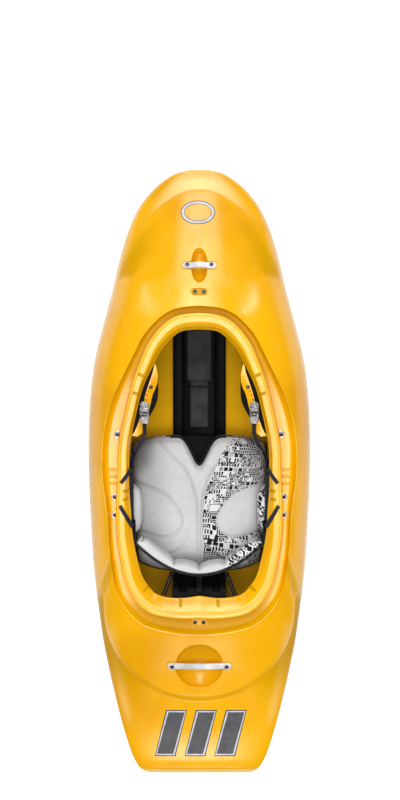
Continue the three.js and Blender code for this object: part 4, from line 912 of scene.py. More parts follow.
def floor_height(x, y):
    """The underside: flat in the middle, a soft chine and a flare up to the rail."""
    side = np.clip(np.abs(x) / half_width(y), 0, 1)
    chine = through(CHINE_SHARES, along_hull(y))
    chine_lift = CHINE_LIFT / float(rail_height(0))
    xs = [chine * 0, chine * FLAT_SHARE, chine, mix(chine, 1, FLARE_SHARE), np.ones_like(chine)]
    zs = [0, 0, chine_lift, mix(chine_lift, 1, FLARE_HEIGHT_SHARE), 1]
    share = np.zeros_like(side)
    for i in range(len(xs) - 1):
        inside = (side >= xs[i]) & (side <= xs[i + 1])
        t = (side - xs[i]) / np.maximum(xs[i + 1] - xs[i], 1e-6)
        share = np.where(inside, mix(zs[i], zs[i + 1], t), share)
    rail = rail_height(y)
    low = rail - (rail - keel_height(y)) * tip_height(y)
    return mix(low, rail, share)


def top_height(x, y):
    """The deck, sunk in the gutter, with a bead along the gutter's outer edge."""
    deck, gutter = deck_height(x, y), gutter_height(x, y)
    return lower_of(deck, gutter, BRIM_BLEND) + BRIM_BEAD * hump(gutter - deck - BRIM_OUT, BRIM_SPREAD)


# How strongly the deck's rings crowd towards the rail.
RAIL_CROWDING = 0.75


def hull_sheet():
    turn = np.arange(TURNS) / TURNS
    rings = []
    for inward, up in rim_profile(flange_width(turn)):
        place = on_rim(turn, inward)
        rings.append(to_world(place[:, 0], place[:, 1], up))
    for share in GUTTER_RINGS:
        place = rim_point(turn, share)
        up = min(0, RISER_HEIGHT * (np.interp(share, GUTTER_PROFILE[:, 0], GUTTER_PROFILE[:, 1]) - 1))
        x, y, _ = to_world(place[:, 0], place[:, 1], up)
        rings.append((x, y, top_height(x, y)))
    x0, y0, _ = rings[-1]
    angle = np.arctan2(x0, y0 - RIM_CENTRE_Y)
    far = outline_radius(angle)
    x1, y1 = far * np.sin(angle), RIM_CENTRE_Y + far * np.cos(angle)
    for i in range(1, DECK_RINGS + 1):
        share = i / DECK_RINGS
        share = mix(share, np.sin(share * np.pi / 2), RAIL_CROWDING)
        x, y = mix(x0, x1, share), mix(y0, y1, share)
        rings.append((x, y, top_height(x, y)))
    rail_ring = len(rings) - 1
    for i in range(1, FLOOR_RINGS):
        share = np.cos(i / FLOOR_RINGS * np.pi / 2)
        x, y = x1 * share, RIM_CENTRE_Y + (y1 - RIM_CENTRE_Y) * share
        rings.append((x, y, floor_height(x, y)))
    points = np.concatenate([together(*ring) for ring in rings] + [[[0, RIM_CENTRE_Y, 0]]])
    points[rail_ring * TURNS : (rail_ring + 1) * TURNS, 2] = rail_height(y1)
    faces = ring_faces(len(rings), TURNS)
    last = (len(rings) - 1) * TURNS
    faces += [(last + k, last + (k + 1) % TURNS, len(points) - 1) for k in range(TURNS)]
    return points, faces


# Where the deck needs finer faces: centre and reach along each side, and cuts across each face.
FINE_SPOTS = (
    (BOW_HANDLE_Y, 62, 72, 5),
    (STERN_HANDLE_Y, 108, 84, 4),
    (FRONT_BOLT_Y, 34, 18, 7),
)
SPOT_MARGIN = 12


def over_spot(place, floor, centre, wide, long):
    return place.z > floor and abs(place.x) < wide * MM and abs(place.y - centre * MM) < long * MM


def refine(made):
    """Cuts the faces round the wells and bolt seats finer, and sets the new points on the deck."""
    mesh = bmesh.new()
    mesh.from_mesh(made.data)
    for centre, wide, long, cuts in FINE_SPOTS:
        floor = float(rail_height(centre)) * MM
        near = [f for f in mesh.faces if over_spot(f.calc_center_median(), floor, centre, wide, long)]
        edges = list({e for f in near for e in f.edges})
        bmesh.ops.subdivide_edges(mesh, edges=edges, cuts=cuts, use_grid_fill=True)
        reach = (wide + SPOT_MARGIN, long + SPOT_MARGIN)
        spot = [v for v in mesh.verts if over_spot(v.co, floor, centre, *reach)]
        x, y = (np.array([v.co[axis] for v in spot]) / MM for axis in (0, 1))
        for v, height in zip(spot, top_height(x, y)):
            v.co.z = height * MM
    mesh.to_mesh(made.data)
    mesh.free()


# The hull's painted shade and painted highlight. Each edge has its place and its width: in millimetres in the
# gutter, the wells and the recesses, and elsewhere in shares of the half width (SIDE), of the length (ALONG)
# or of the plateau.
BRIM_DEPTH = (2, 10)
LIP_DEPTH = (3, 10)
LIP_GAP = 3
LIP_FADE = 8
WALL_RISE = (3, 6)
WALL_SHARE = 0.6
FRONT_GUTTER = (190, 120)
REAR_GUTTER = (-330, 80)
GUTTER_SHADE_SHARES = (0.02, 0.62)
WELL_DEPTH = (4, 16)
RECESS_TOP = (1.6, 1.4)
RECESS_BOTTOM = (6, 2)
PANEL_SIDE_INNER = (0.42, 0.4)
PANEL_SIDE_OUTER = (0.965, 0.04)
PANEL_NOSE = (0, 60)
PANEL_ALONG = 0.8165
PANEL_ALONG_WIDTHS = (0.05, 0.004)
PANEL_CRISP_SIDE = (0.62, 0.2)
SKIRT_INNER = (0.99, 0.02)
SKIRT_OUTER = (1.32, 0.3)
SKIRT_ALONG = (0.32, 0.04)
SKIRT_OUT = (0.5, 0.35)
FOLD_SHADE_LINE = [(254, -262), (280, -340)]
FOLD_SHADE = (14, 8)
NOSE_HIGHLIGHT = (0, 5)
NOSE_SIDE = (0.85, 0.3)
BOW_EDGE_SIDE = (0.93, 0.05)
BOW_EDGE_ALONG = (0.62, 0.1)
STERN_HIGHLIGHT = (STERN_LIP_Y - 3, 3)
STERN_HIGHLIGHT_HEIGHT_SHARE = 0.7
RAIL_SIDE = (0.9, 0.05)
RAIL_ALONG_REAR = (0.07, 0.04)
RAIL_ALONG_FRONT = (0.27, 0.04)
HIGHLIGHT_FROM_Z = 60
# How strong each painted shade and each painted highlight is.
PAINTED_SHADE_SHARES = {"gutter": 1, "well": 0.3, "recess": 0.75, "panel": 0.56, "skirt": 0.75, "fold": 0.4}
PAINTED_HIGHLIGHT_SHARES = {"nose": 0.8, "edge": 0.45, "stern": 0.9, "rail": 0.4}


def strongest(shades, shares):
    """The strongest of several shades, each weakened by its own share."""
    return np.clip(np.maximum.reduce([shades[word] * share for word, share in shares.items()]), 0, 1)


def painted_shade_places(x, y, z):
    """Painted shade: darker amber and duller gloss in the gutter, the wells, the recesses, the panels, the
    skirt and the folds.
    """
    side, along = np.abs(x) / half_width(y), along_hull(y)
    sunk, gutter = plain_deck(x, y) - z, gutter_height(x, y)
    lip_z = RIM_CENTRE_Z + (y - RIM_CENTRE_Y) * RISE / LEAN
    under_brim = rising(deck_height(x, y) - gutter, *BRIM_DEPTH)
    outer_wall = rising(gutter - lip_z + RISER_HEIGHT, *WALL_RISE) * WALL_SHARE
    front_or_rear = np.maximum(rising(y, *FRONT_GUTTER), falling(y, *REAR_GUTTER))
    below_lip = rising(sunk, *LIP_DEPTH) * under_brim * falling(z, lip_z - LIP_GAP, LIP_FADE)
    panel = rising(side, *PANEL_SIDE_INNER) * falling(side, *PANEL_SIDE_OUTER)
    panel = panel * falling(past_nose_edge(x, y), *PANEL_NOSE)
    ring = plateau_share(x, along)
    skirt = rising(ring, *SKIRT_INNER) * falling(ring, *SKIRT_OUTER)
    skirt = skirt * falling(along, *SKIRT_ALONG) * rising(np.abs(x) / PLATEAU_HALF_WIDTH, *SKIRT_OUT)
    crisp = rising(side, *PANEL_CRISP_SIDE)
    return {
        "gutter": below_lip * mix(*GUTTER_SHADE_SHARES, np.maximum(outer_wall, front_or_rear)),
        "well": rising(sunk, *WELL_DEPTH) * (1 - under_brim) * (z > rail_height(y)),
        "recess": rising(sunk, *RECESS_TOP) * (1 - under_brim) * falling(sunk, *RECESS_BOTTOM),
        "panel": panel * rising(along, PANEL_ALONG, mix(*PANEL_ALONG_WIDTHS, crisp)),
        "skirt": skirt,
        "fold": falling(from_line(np.abs(x), y, FOLD_SHADE_LINE), *FOLD_SHADE),
    }


def painted_highlight_places(x, y, z):
    """Painted highlight: paler amber on the nose, the bow's edges, the stern lip and the rear rails."""
    side, along = np.abs(x) / half_width(y), along_hull(y)
    rail = hump(side - RAIL_SIDE[0], RAIL_SIDE[1])
    return {
        "nose": rising(past_nose_edge(x, y), *NOSE_HIGHLIGHT) * falling(side, *NOSE_SIDE),
        "edge": rising(side, *BOW_EDGE_SIDE) * rising(along, *BOW_EDGE_ALONG),
        "stern": falling(y, *STERN_HIGHLIGHT) * (z > rail_height(y) * STERN_HIGHLIGHT_HEIGHT_SHARE),
        "rail": rail * rising(along, *RAIL_ALONG_REAR) * falling(along, *RAIL_ALONG_FRONT),
    }


# Lays the hull's painted shade and painted highlight on it as two marks.
def paint_hull_shade_and_highlight(made):
    place = np.empty(len(made.data.vertices) * 3)
    made.data.vertices.foreach_get("co", place)
    x, y, z = place.reshape(-1, 3).T / MM
    mark(made, "painted_shade", strongest(painted_shade_places(x, y, z), PAINTED_SHADE_SHARES))
    mark(made, "painted_highlight", strongest(painted_highlight_places(x, y, z), PAINTED_HIGHLIGHT_SHARES) * (z > HIGHLIGHT_FROM_Z))


def hull_skin():
    made = mesh_object("hull_skin", *hull_sheet(), hull_amber)
    refine(made)
    paint_hull_shade_and_highlight(made)
    made.data.materials.append(hull_inside)
    wall = made.modifiers.new("wall", "SOLIDIFY")
    wall.thickness = WALL * MM
    wall.offset = -1
    wall.material_offset = 1
    stands_for("hull_shell")


hull_skin()


# Carried-over pieces: the frame's own nodes with a finish, or copies with their edges rounded.
BODY_OF = {node: body for body, names in frame["record"]["behaviour"]["bodies"].items() for node in names}
WELD_SHARE = 0.01
FLAT_ANGLE = math.radians(1)
EDGE_ANGLE = math.radians(24)


def both_sides(*names):
    return [f"{name}_{word}" for name in names for word, _ in SIDES]


def dress(finish, *names):
    for name in names:
        mesh = nodes[name].data
        mesh.materials.clear()
        mesh.materials.append(finish)


def softened(finish, width, *names, segments=3):
    """Each node as a clean copy with its edges rounded."""
    for name in names:
        shape = bmesh.new()
        shape.from_mesh(nodes[name].data)
        bmesh.ops.remove_doubles(shape, verts=shape.verts, dist=width * MM * WELD_SHARE)
        bmesh.ops.dissolve_limit(shape, angle_limit=FLAT_ANGLE, verts=shape.verts, edges=shape.edges)
        mesh = bpy.data.meshes.new(f"{name}_soft")
        shape.to_mesh(mesh)
        shape.free()
        made = dressed_object(f"{name}_soft", mesh, finish, BODY_OF[name])
        edge = made.modifiers.new("edge", "BEVEL")
        edge.width = width * MM
        edge.segments = segments
        edge.limit_method = "ANGLE"
        edge.angle_limit = EDGE_ANGLE
        edge.harden_normals = True
        stands_for(name)


dress(black_plastic, "seat_pan")
dress(shell_plastic, "backband_shell")
dress(strap_plastic, *both_sides("ladder_strap"))
softened(painted_bar, 1.4, "bow_handle", "stern_handle")
softened(black_plastic, 1.2, "center_beam")
softened(black_plastic, 0.8, *both_sides("upper_buckle", "lower_buckle", "rear_loop_buckle"), segments=2)
softened(cast_metal, 1.0, *both_sides("ratchet_base", "ratchet_lever", "ratchet_release"))
softened(brace_amber, 1.2, *both_sides("thigh_brace"))
softened(pillar_foam, 3.0, "front_pillar", "rear_pillar", *both_sides("foot_block", "thigh_pad"))
softened(block_foam, 3.0, "beam_pad")

# The round drum of each ratchet, between the cheeks of its base.
DRUM = (156.7, 172.2, 300.6)
DRUM_LENGTH = 14
DRUM_RADIUS = 3.6

for word, side in SIDES:
    run = np.linspace(-DRUM_LENGTH / 2, DRUM_LENGTH / 2, 10)
    drum = tube(f"ratchet_drum_{word}", together(side * (DRUM[0] - run), *DRUM[1:]), DRUM_RADIUS, cast_metal)

# Bolts, as radii and heights: a round head with a hexagon socket, over a cupped washer in the gutter.
BOLT_SIDES = 36
SHANK = [(0, -12), (3, -12), (3, 0.3)]
WASHER = [(11, 0.3), (11, 1.0), (10.4, 1.9), (9.2, 2.5), (7.6, 2.4), (6.7, 1.7)]
HEAD = [(6.1, 1.5), (6.1, 2.9), (5.7, 3.8), (4.8, 4.5), (3.7, 4.8)]
SOCKET = [(2.9, 4.8), (2.8, 2.6), (0, 2.6)]
BOLT_EDGE_ANGLE = math.radians(50)


def lathe(profile):
    """Points and faces of a profile turned about z; each ring may be six-sided."""
    angles = 2 * np.pi * np.arange(BOLT_SIDES) / BOLT_SIDES
    hexagon = np.cos(np.pi / 6) / np.cos(angles % (np.pi / 3) - np.pi / 6)
    rings = []
    for radius, height, sixfold in profile:
        reach = radius * (hexagon if sixfold else 1)
        rings.append(together(reach * np.cos(angles), reach * np.sin(angles), height))
    return np.concatenate(rings), ring_faces(len(profile), BOLT_SIDES)


def bolt(name, place, washer):
    rows = [(SHANK, False, 0), (WASHER if washer else [], False, 1), (HEAD, False, 0), (SOCKET, True, 2)]
    profile = [(radius, height, sixfold) for part, sixfold, _ in rows for radius, height in part]
    kinds = [kind for part, _, kind in rows for _ in part]
    points, faces = lathe(profile)
    made = mesh_object(f"{name}_head", [place @ Vector(p) for p in points], faces, bolt_steel)
    made.data.materials.append(washer_steel)
    made.data.materials.append(socket_dark)
    made.data.polygons.foreach_set("material_index", [kinds[f[0] // BOLT_SIDES + 1] for f in faces])
    split = made.modifiers.new("edges", "EDGE_SPLIT")
    split.split_angle = BOLT_EDGE_ANGLE
    stands_for(name)


def bolt_places():
    """Every bolt of the hull: its name, the frame it stands in, and whether it has a washer."""
    rear_y = float(rim_point(0.5, REAR_BOLT_SHARE)[1])
    handles = (("bow", BOW_HANDLE_Y, BOW_BAR_LENGTH), ("stern", STERN_HANDLE_Y, STERN_BAR_LENGTH))
    for word, side in SIDES:
        x = side * BOLT_SPACING / 2
        place = on_deck(FRONT_BOLT_Y) @ Matrix.Translation((x, 0, -RECESS_DEPTH))
        yield f"front_deck_bolt_{word}", place, False
        place = RIM_FRAME @ Matrix.Translation((x, rear_y, REAR_BOLT_LIFT - RISER_HEIGHT))
        yield f"rear_deck_bolt_{word}", place, False
        for i, turn in enumerate(SIDE_BOLT_TURNS):
            at = rim_point(turn, SIDE_BOLT_SHARE)
            place = RIM_FRAME @ Matrix.Translation((side * at[0], at[1], -RISER_HEIGHT))
            yield f"side_bolt_{i + 1}_{word}", place, True
        for handle, y, length in handles:
            lift = BAR_THICK + SEAT_GAP - RECESS_DEPTH
            place = on_deck(y) @ Matrix.Translation((side * (length / 2 - BAR_END), 0, lift))
            yield f"{handle}_handle_bolt_{word}", place, False


for name, place, washer in bolt_places():
    bolt(name, place, washer)
dress(bolt_steel, *both_sides("thigh_bolt"))

# Moulded bars across the rim's flange, each given as a turn, how far in it lies, its length and its width,
# and bars across the gutter beside the seat, given as how far out they lie, their length and their width.
FLANGE_BARS = (
    (0.0938, 16.5, 16, 9), (0.118, 19.0, 16, 9), (0.2938, 26.5, 15, 9), (0.3085, 26.5, 15, 9),
    (0.4258, 44.0, 22, 9), (0.4798, 44.0, 21, 10),
)
GUTTER_BAR_ROWS = (13, -7, -27)
GUTTER_BAR = (249, 20, 8)
GUTTER_BAR_LIFT = 6
BAR_LIFT = 4.4
BAR_SUNK = 2.0
BAR_GRID = 12


def moulded_bar(surface, middle, along, across, lift=BAR_LIFT, flat=8):
    """A low bar with round edges on a surface: two half-lengths in plan, and how high it stands."""
    share = np.sin(np.linspace(-1, 1, BAR_GRID) * np.pi / 2)
    u, v = np.meshgrid(share, share)
    x, y = (middle[axis] + along[axis] * u + across[axis] * v for axis in (0, 1))
    crown = (1 - u**8) ** 0.5 * (1 - v**flat) ** 0.5
    return together(*surface(x, y, lift * crown)), together(*surface(x, y, -BAR_SUNK))


def on_flange(x, y, up):
    return to_world(x, y, rim_face(x, y)[0] + up)


def on_gutter(x, y, up):
    return x, y, gutter_height(x, y) + up


def moulded_bars():
    grids = []
    for turn, inward, length, width in FLANGE_BARS:
        middle = on_rim(turn, inward)
        way = on_rim(turn, inward + 1) - middle
        across = np.array([-way[1], way[0]]) * width / 2
        # The flange's bars take the darker amber: painted shade, as in a recess.
        grids.append((*moulded_bar(on_flange, middle, way * length / 2, across), rib_amber_painted_shade))
    out, length, width = GUTTER_BAR
    for row in GUTTER_BAR_ROWS:
        bar = moulded_bar(on_gutter, (out, row), (length / 2, 0), (0, width / 2), GUTTER_BAR_LIFT, 2)
        grids.append((*bar, brace_amber))
    count = 0
    for top, low, finish in grids:
        for _, side in SIDES:
            count += 1
            turned = np.array([side, 1, 1])
            made = closed_grid(f"moulded_bar_{count}", top * turned, low * turned, finish)


moulded_bars()

# The raised, round-ended seat of the two bolts behind the rim: its length, width and height.
BOSS = (52, 23, 3.6)
BOSS_EDGE = 3


def bolt_boss():
    _, rear_y, _ = to_world(0, float(rim_point(0.5, REAR_BOLT_SHARE)[1]), -RISER_HEIGHT)
    length, width, height = BOSS
    u, v = unit_grid(60, 40)
    x, y = mix(-length / 2, length / 2, u), mix(-width / 2, width / 2, v)
    away = width / 2 - np.hypot(np.maximum(np.abs(x) - (length - width) / 2, 0), y)
    floor = gutter_height(x * 0, y * 0 + rear_y) + y * RISE / LEAN
    top = together(x, rear_y + y, floor + mix(-BAR_SUNK, height, ease(away / BOSS_EDGE)))
    low = together(x, rear_y + y, floor - BAR_SUNK * 2)
    closed_grid("bolt_boss", top, low, brace_amber)


bolt_boss()

# Cushions: a fine crowned top over a base, with its seams pressed in.
GRID = 220
SEAM_WIDTH = 2.2
SEAM_APART = 2.6
SEAM_DEPTH = 2.6
SEAM_SHADE_WIDTH = 1.3
THIGH_SEAM = [(119, 94), (84, 48), (43, 6), (20, -50), (9, -100), (7, -160), (6, -240)]
EGG_SEAM = [(192, -28), (150, -46), (103, -68), (66, -108), (50, -148), (66, -182), (108, -196), (172, -178)]
PRINT_EDGE = [(99, 104), (66, 52), (43, 6), (22, -50), (13, -88), (11, -140), (12, -232), (12, -300)]
SEAT_BASE_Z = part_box("seat_pad")[0].z / MM
SEAT_REAR_TAPER = 0.1
SEAT_FRONT_TAPER = 0.02
THIGH_RISE = (0.38, 0.57)
HIP_RISE_SHARE = 0.55
RIDGE_FADE = (0.83, 0.19)
PANEL_FADE = (1.1, 0.2)
FRONT_SEAM = 13
FRONT_SEAM_START = (0.9, 0.02)
# Painted soft shadows on the seat, each as an edge and its width, with its strength on the left and on the
# right.
CORNER_SIDE = (96, 76)
CORNER_FRONT = (-64, 110)
CORNER_SHARES = (0.92, 0.45)
LEFT_FLANK = (60, 100)
RIGHT_FLANK = (140, 44)
FLANK_SHARES = (0.42, 0.34)
BEHIND = (-232, 36)
BEHIND_SHARE = 0.62
# How strong the painted shade along the seams is.
SEAM_SHADE_SHARE = 0.34


def pressed(distance):
    """How deep a double line of stitches presses the fabric in."""
    return SEAM_DEPTH * hump(distance - SEAM_APART, SEAM_WIDTH)


def padded_piece(name, top, base, marks, node, body="hull"):
    made = closed_grid(name, top, base, cushion_knit, body, marks)
    stands_for(node)


def seat_plan(u, v):
    wide = SEAT_WIDTH / 2 - RUN_GAP
    x = mix(-wide, wide, u) * (1 - SEAT_REAR_TAPER * (1 - v) ** 2 - SEAT_FRONT_TAPER * v**8)
    side = np.abs(2 * u - 1) ** 4
    rear = SEAT_REAR_Y + PAD_BACK_ROUND * side
    away = np.hypot(x, PAD_NOTCH_ROUND) - PAD_NOTCH_ROUND
    notch = PAD_NOTCH * np.clip(1 - away / PAD_NOTCH_WIDTH, 0, 1) ** PAD_NOTCH_POWER
    return x, mix(rear, SEAT_REAR_Y + SEAT_LENGTH - PAD_FRONT_ROUND * side - notch, v)


def inside_egg(x, y):
    loop = curve_through(EGG_SEAM)
    inside = np.zeros(np.shape(x), bool)
    for (x0, y0), (x1, y1) in zip(loop, np.roll(loop, -1, axis=0)):
        inside ^= ((y0 > y) != (y1 > y)) & (x < (x1 - x0) * (y - y0) / (y1 - y0 + 1e-9) + x0)
    return inside


def from_seams(x, y):
    """Distance in plan from the seat's nearest seam."""
    return np.minimum(*(from_line(np.abs(x), y, curve_through(seam)) for seam in (THIGH_SEAM, EGG_SEAM)))


def seat_top(u, v):
    """A place on the seat pad: two thigh lobes, raised hip panels, and a ridge that fades at the notch."""
    x, y = seat_plan(u, v)
    rounding = crowned(u, 10, 0.4) * crowned(v, 10, 0.4)
    rise = np.maximum(rising(v, *THIGH_RISE), HIP_RISE_SHARE * np.abs(2 * u - 1) ** 2.5)
    ridge = PAD_SEAM * hump(x, PAD_SEAM_WIDTH) * falling(v, *RIDGE_FADE)
    (panel_x, panel_y), (wide, long) = PAD_PANEL_PLACE, PAD_PANEL_REACH
    panel = PAD_PANEL * falling(np.hypot((np.abs(x) - panel_x) / wide, (y - panel_y) / long), *PANEL_FADE)
    front_seam = np.abs((1 - v) * SEAT_LENGTH - FRONT_SEAM)
    dents = pressed(from_seams(x, y)) + pressed(front_seam) * rising(v, *FRONT_SEAM_START)
    return x, y, SEAT_BASE_Z + mix(PAD_EDGE, mix(PAD_SIT, PAD_THIGH, rise) + ridge + panel - dents, rounding)


def seat_cushion():
    u, v = unit_grid(GRID, GRID)
    x, y, z = seat_top(u, v)
    edge = np.array(PRINT_EDGE[::-1])
    printed = (x > np.interp(y, edge[:, 1], edge[:, 0])) & ~inside_egg(x, y)
    bound = (v > 0.99) & (np.abs(2 * u - 1) < 0.5)
    # Painted shade along the seams, joined to the painted shadows.
    seam_shade = SEAM_SHADE_SHARE * hump(from_seams(x, y) - SEAM_APART, SEAM_SHADE_WIDTH)
    left = x < 0
    corner = rising(np.abs(x), *CORNER_SIDE) * rising(y, *CORNER_FRONT) * np.where(left, *CORNER_SHARES)
    flank = np.where(left, rising(-x, *LEFT_FLANK), rising(x, *RIGHT_FLANK)) * np.where(left, *FLANK_SHARES)
    behind = BEHIND_SHARE * falling(y, *BEHIND)
    shadow = np.clip(np.maximum.reduce([corner, flank + seam_shade, behind]), 0, 1)
    marks = {"printed": printed, "piping": bound, "shadow": shadow}
    padded_piece("seat_cushion", together(x, y, z), together(x, y, SEAT_BASE_Z), marks, "seat_pad")


# Piping: where it runs along the seat's front edge, and how far out each of its two rolls lies.
PIPING_RADIUS = 2.0
PIPING_RUN = (0.28, 0.7)
PIPING_ROW = 0.982
PIPING_ROLLS = (("inner", 0.6), ("outer", PIPING_RADIUS * 2))
PIPING_LIFT = 0.6
PIPING_FALL = 0.3


def seat_piping():
    """Two dark rolls sewn side by side along the front edge and round the notch."""
    u = np.linspace(*PIPING_RUN, 260)
    x, y, z = seat_top(u, np.full_like(u, PIPING_ROW))
    ahead = unit(together(np.gradient(x), np.gradient(y)))
    for name, out in PIPING_ROLLS:
        lift = PIPING_LIFT - out * PIPING_FALL
        path = together(x - ahead[:, 1] * out, y + ahead[:, 0] * out, z + lift)
        tube(f"seat_piping_{name}", path, PIPING_RADIUS, piping_cloth)


seat_cushion()
seat_piping()

HIP_SEAM_SHARE = 0.45


def hip_cushion(word, side):
    low, high = (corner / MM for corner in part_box(f"hip_pad_{word}"))
    outer = SEAT_WIDTH / 2 - SEAT_GAP
    u, v = unit_grid(60, 90)
    bulge = crowned(u, 3) * crowned(v, 3)
    dents = pressed(np.abs(bulge - HIP_SEAM_SHARE) * HIP_PAD_THICK)
    y, z = mix(low.y, high.y, v), mix(low.z, high.z, u)
    top = together(side * (outer - mix(HIP_PAD_EDGE, HIP_PAD_THICK, bulge) + dents), y, z)
    marks = {"printed": np.full(u.shape, side > 0), "piping": bulge < 0.2}
    padded_piece(f"hip_cushion_{word}", top, together(side * outer, y, z), marks, f"hip_pad_{word}")


for word, side in SIDES:
    hip_cushion(word, side)

# The back band: its seams along it, how far each lobe reaches from one, and its folds of gathered cloth.
BAND_SEAMS = np.array([0.1, 0.362, 0.5, 0.638, 0.9])
LOBE_REACH = 0.07
SEAM_CROWN_SHARE = 0.18
BAND_END_SHARE = 0.1
GATHER_HEIGHT = 1.1
GATHER_START = (0.64, 0.04)
GATHER_END = (0.9, 0.06)
WRINKLE_HEIGHT = 0.5
PRINT_START = 0.66
PIPING_THIN = 1.7
BAND_ROLLS = (("inner", -2.6), ("outer", 1.4))
BAND_ROLL_DOWN = -0.012


def band_place(along, out, down):
    """A place on the band in the rim's frame: a share along it, how far out behind it, and a share down."""
    angle = mix(-np.pi / 2, np.pi / 2, along)
    sine, cosine = np.sin(angle), np.cos(angle)
    behind = unit(together(2 * BAND_DEPTH * sine, -BAND_HALF))
    tall = mix(BAND_END_TALL, BAND_TALL, np.maximum(cosine, 0) ** 0.8)
    reach = out + BAND_LEAN * down * cosine
    x = BAND_HALF * sine + behind[..., 0] * reach
    y = BAND_END_Y - BAND_DEPTH * cosine**2 + behind[..., 1] * reach
    return x, y, BAND_TOP - tall * down


def band_world(along, out, down):
    return together(*to_world(*band_place(along, out, down)))


def band_cushion():
    """Four stuffed lobes with deep seams between them; the printed one has gathered cloth."""
    u, v = unit_grid(46, 420)
    along = mix(BAND_PAD_START, 1 - BAND_PAD_START, v)
    near = np.abs(along[..., None] - BAND_SEAMS).min(-1)
    lobe = np.sqrt(1 - (1 - np.clip(near / LOBE_REACH, 0, 1)) ** 2)
    crown = crowned(u, 4)
    ends = ease(np.minimum(along, 1 - along) / BAND_END_SHARE)
    folds = np.sin(along * 260 + 9 * u + 3 * np.sin(along * 47)) + 0.6 * np.sin(along * 410 - 14 * u)
    gathered = GATHER_HEIGHT * folds * rising(along, *GATHER_START) * falling(along, *GATHER_END) * crown
    wrinkle = WRINKLE_HEIGHT * np.sin(along * 190 - 5 * u) * (1 - lobe) * crown
    thick = mix(BAND_PAD_EDGE, BAND_PAD, mix(SEAM_CROWN_SHARE, 1, lobe) * crown * ends) + gathered + wrinkle
    top, base = band_world(along, -SEAT_GAP - thick, u), band_world(along, -SEAT_GAP, u)
    padded_piece("band_cushion", top, base, {"printed": along > PRINT_START}, "backband_pad", "backband")


def band_piping():
    """Two thin dark rolls along the band's top edge."""
    along = np.linspace(0.02, 0.98, 200)
    for name, out in BAND_ROLLS:
        path = band_world(along, out, BAND_ROLL_DOWN)
        tube(f"band_piping_{name}", path, PIPING_THIN, piping_cloth, "backband")


band_cushion()
band_piping()

# Webbing tails over the rim, each from a turn and a reach on the rim to another.
PAD_TOP_Z = -FLANGE_DROP - WALL - SEAT_GAP
TAILS = {"upper": ((0.28, 12), (0.253, 40)), "lower": ((0.319, 12), (0.352, 47.6))}
TAIL_WIDTH = 11
TAIL_THICK = 1.5
TAIL_LIFT = 0.8
TAIL_SHIFT = 3.5
TAIL_DIP = 5
HEM = 1.0
HEM_SHARE = 0.16
STITCH_RADIUS = 0.35
# The lines of stitches at a tail's end: a box with a slanting line, as shares across and along.
STITCH_LINES = np.array([
    [(0.15, 0.03), (0.85, 0.03)], [(0.85, 0.03), (0.85, 0.14)], [(0.85, 0.14), (0.15, 0.03)],
    [(0.15, 0.14), (0.85, 0.14)],
])


def stitches(name, line):
    tube(name, line, STITCH_RADIUS, thread, sides=6)


def tail(kind, word, side):
    start, end = (on_rim(*spot) for spot in TAILS[kind])
    way = unit(end - start)
    across = np.array([way[1], -way[0]])

    def place(u, v, up):
        at = start + (end - start) * v[..., None] + across * ((u - 0.5) * TAIL_WIDTH)[..., None]
        x, y = at[..., 0], at[..., 1]
        height, past = rim_face(x, y)
        high = np.maximum(height, rim_face(x + TAIL_SHIFT, y)[0]) + TAIL_LIFT
        z = mix(high, PAD_TOP_Z + SEAT_GAP, np.clip((past - TAIL_LIFT) / TAIL_DIP, 0, 1)) + up
        return together(*to_world(side * x, y, z))

    u, v = unit_grid(9, 50)
    thick = TAIL_THICK * (0.5 + 0.5 * crowned(u, 6, 1)) + HEM * (v < HEM_SHARE)
    made = closed_grid(f"{kind}_webbing_{word}", place(u, v, thick), place(u, v, 0), webbing)
    stands_for(f"{kind}_tail_{word}")
    run = np.linspace(0, 1, 24)[:, None]
    lines = np.concatenate([mix(first, last, run) for first, last in STITCH_LINES])
    stitches(f"{kind}_stitch_{word}", place(*lines.T, TAIL_THICK + HEM))


for word, side in SIDES:
    tail("upper", word, side)
    tail("lower", word, side)

# The strap down the rear pillar's middle slot, and where its two rows of stitches run across it.
PILLAR_FRONT = SEAT_REAR_Y - 4 - 2 * RUN_GAP
PILLAR_LEAN = 52
PILLAR_SLOT = 10
STRAP_HEIGHTS = (40, 205)
PILLAR_STRAP_WIDTH = 17
STITCH_COLUMNS = (("left", 0), ("right", 7))
STITCH_LIFT = 0.3


def pillar_strap():
    u, v = unit_grid(9, 60)
    x, z = (u - 0.5) * PILLAR_STRAP_WIDTH, mix(*STRAP_HEIGHTS, v)
    back = PILLAR_FRONT - PILLAR_LEAN * z / DECK_HEIGHT - PILLAR_SLOT + SEAT_GAP
    top = together(x, back + STRAP_THICK * (0.6 + 0.4 * crowned(u, 6, 1)), z)
    made = closed_grid("pillar_webbing", top, together(x, back, z), webbing)
    stands_for("rear_pillar_strap")
    for word, column in STITCH_COLUMNS:
        stitches(f"pillar_stitch_{word}", top[:, column] + np.array([0, STITCH_LIFT, 0]))


pillar_strap()

# Elastic loops behind the back band, fixed in place.
LOOP_CORD = 2.7
LOOP_WIDTH = 9
LOOP_Z = PAD_TOP_Z - LOOP_CORD
LOOP_BUCKLE = (14, 11)
LOOP_ALONG = 0.631
LOOP_TURN = 0.458
LOOP_TUCK = 5
LOOP_PINCH = 0.8


def behind_band(along):
    return np.array(band_place(along, BAND_SHELL + SEAT_GAP, 0)[:2])


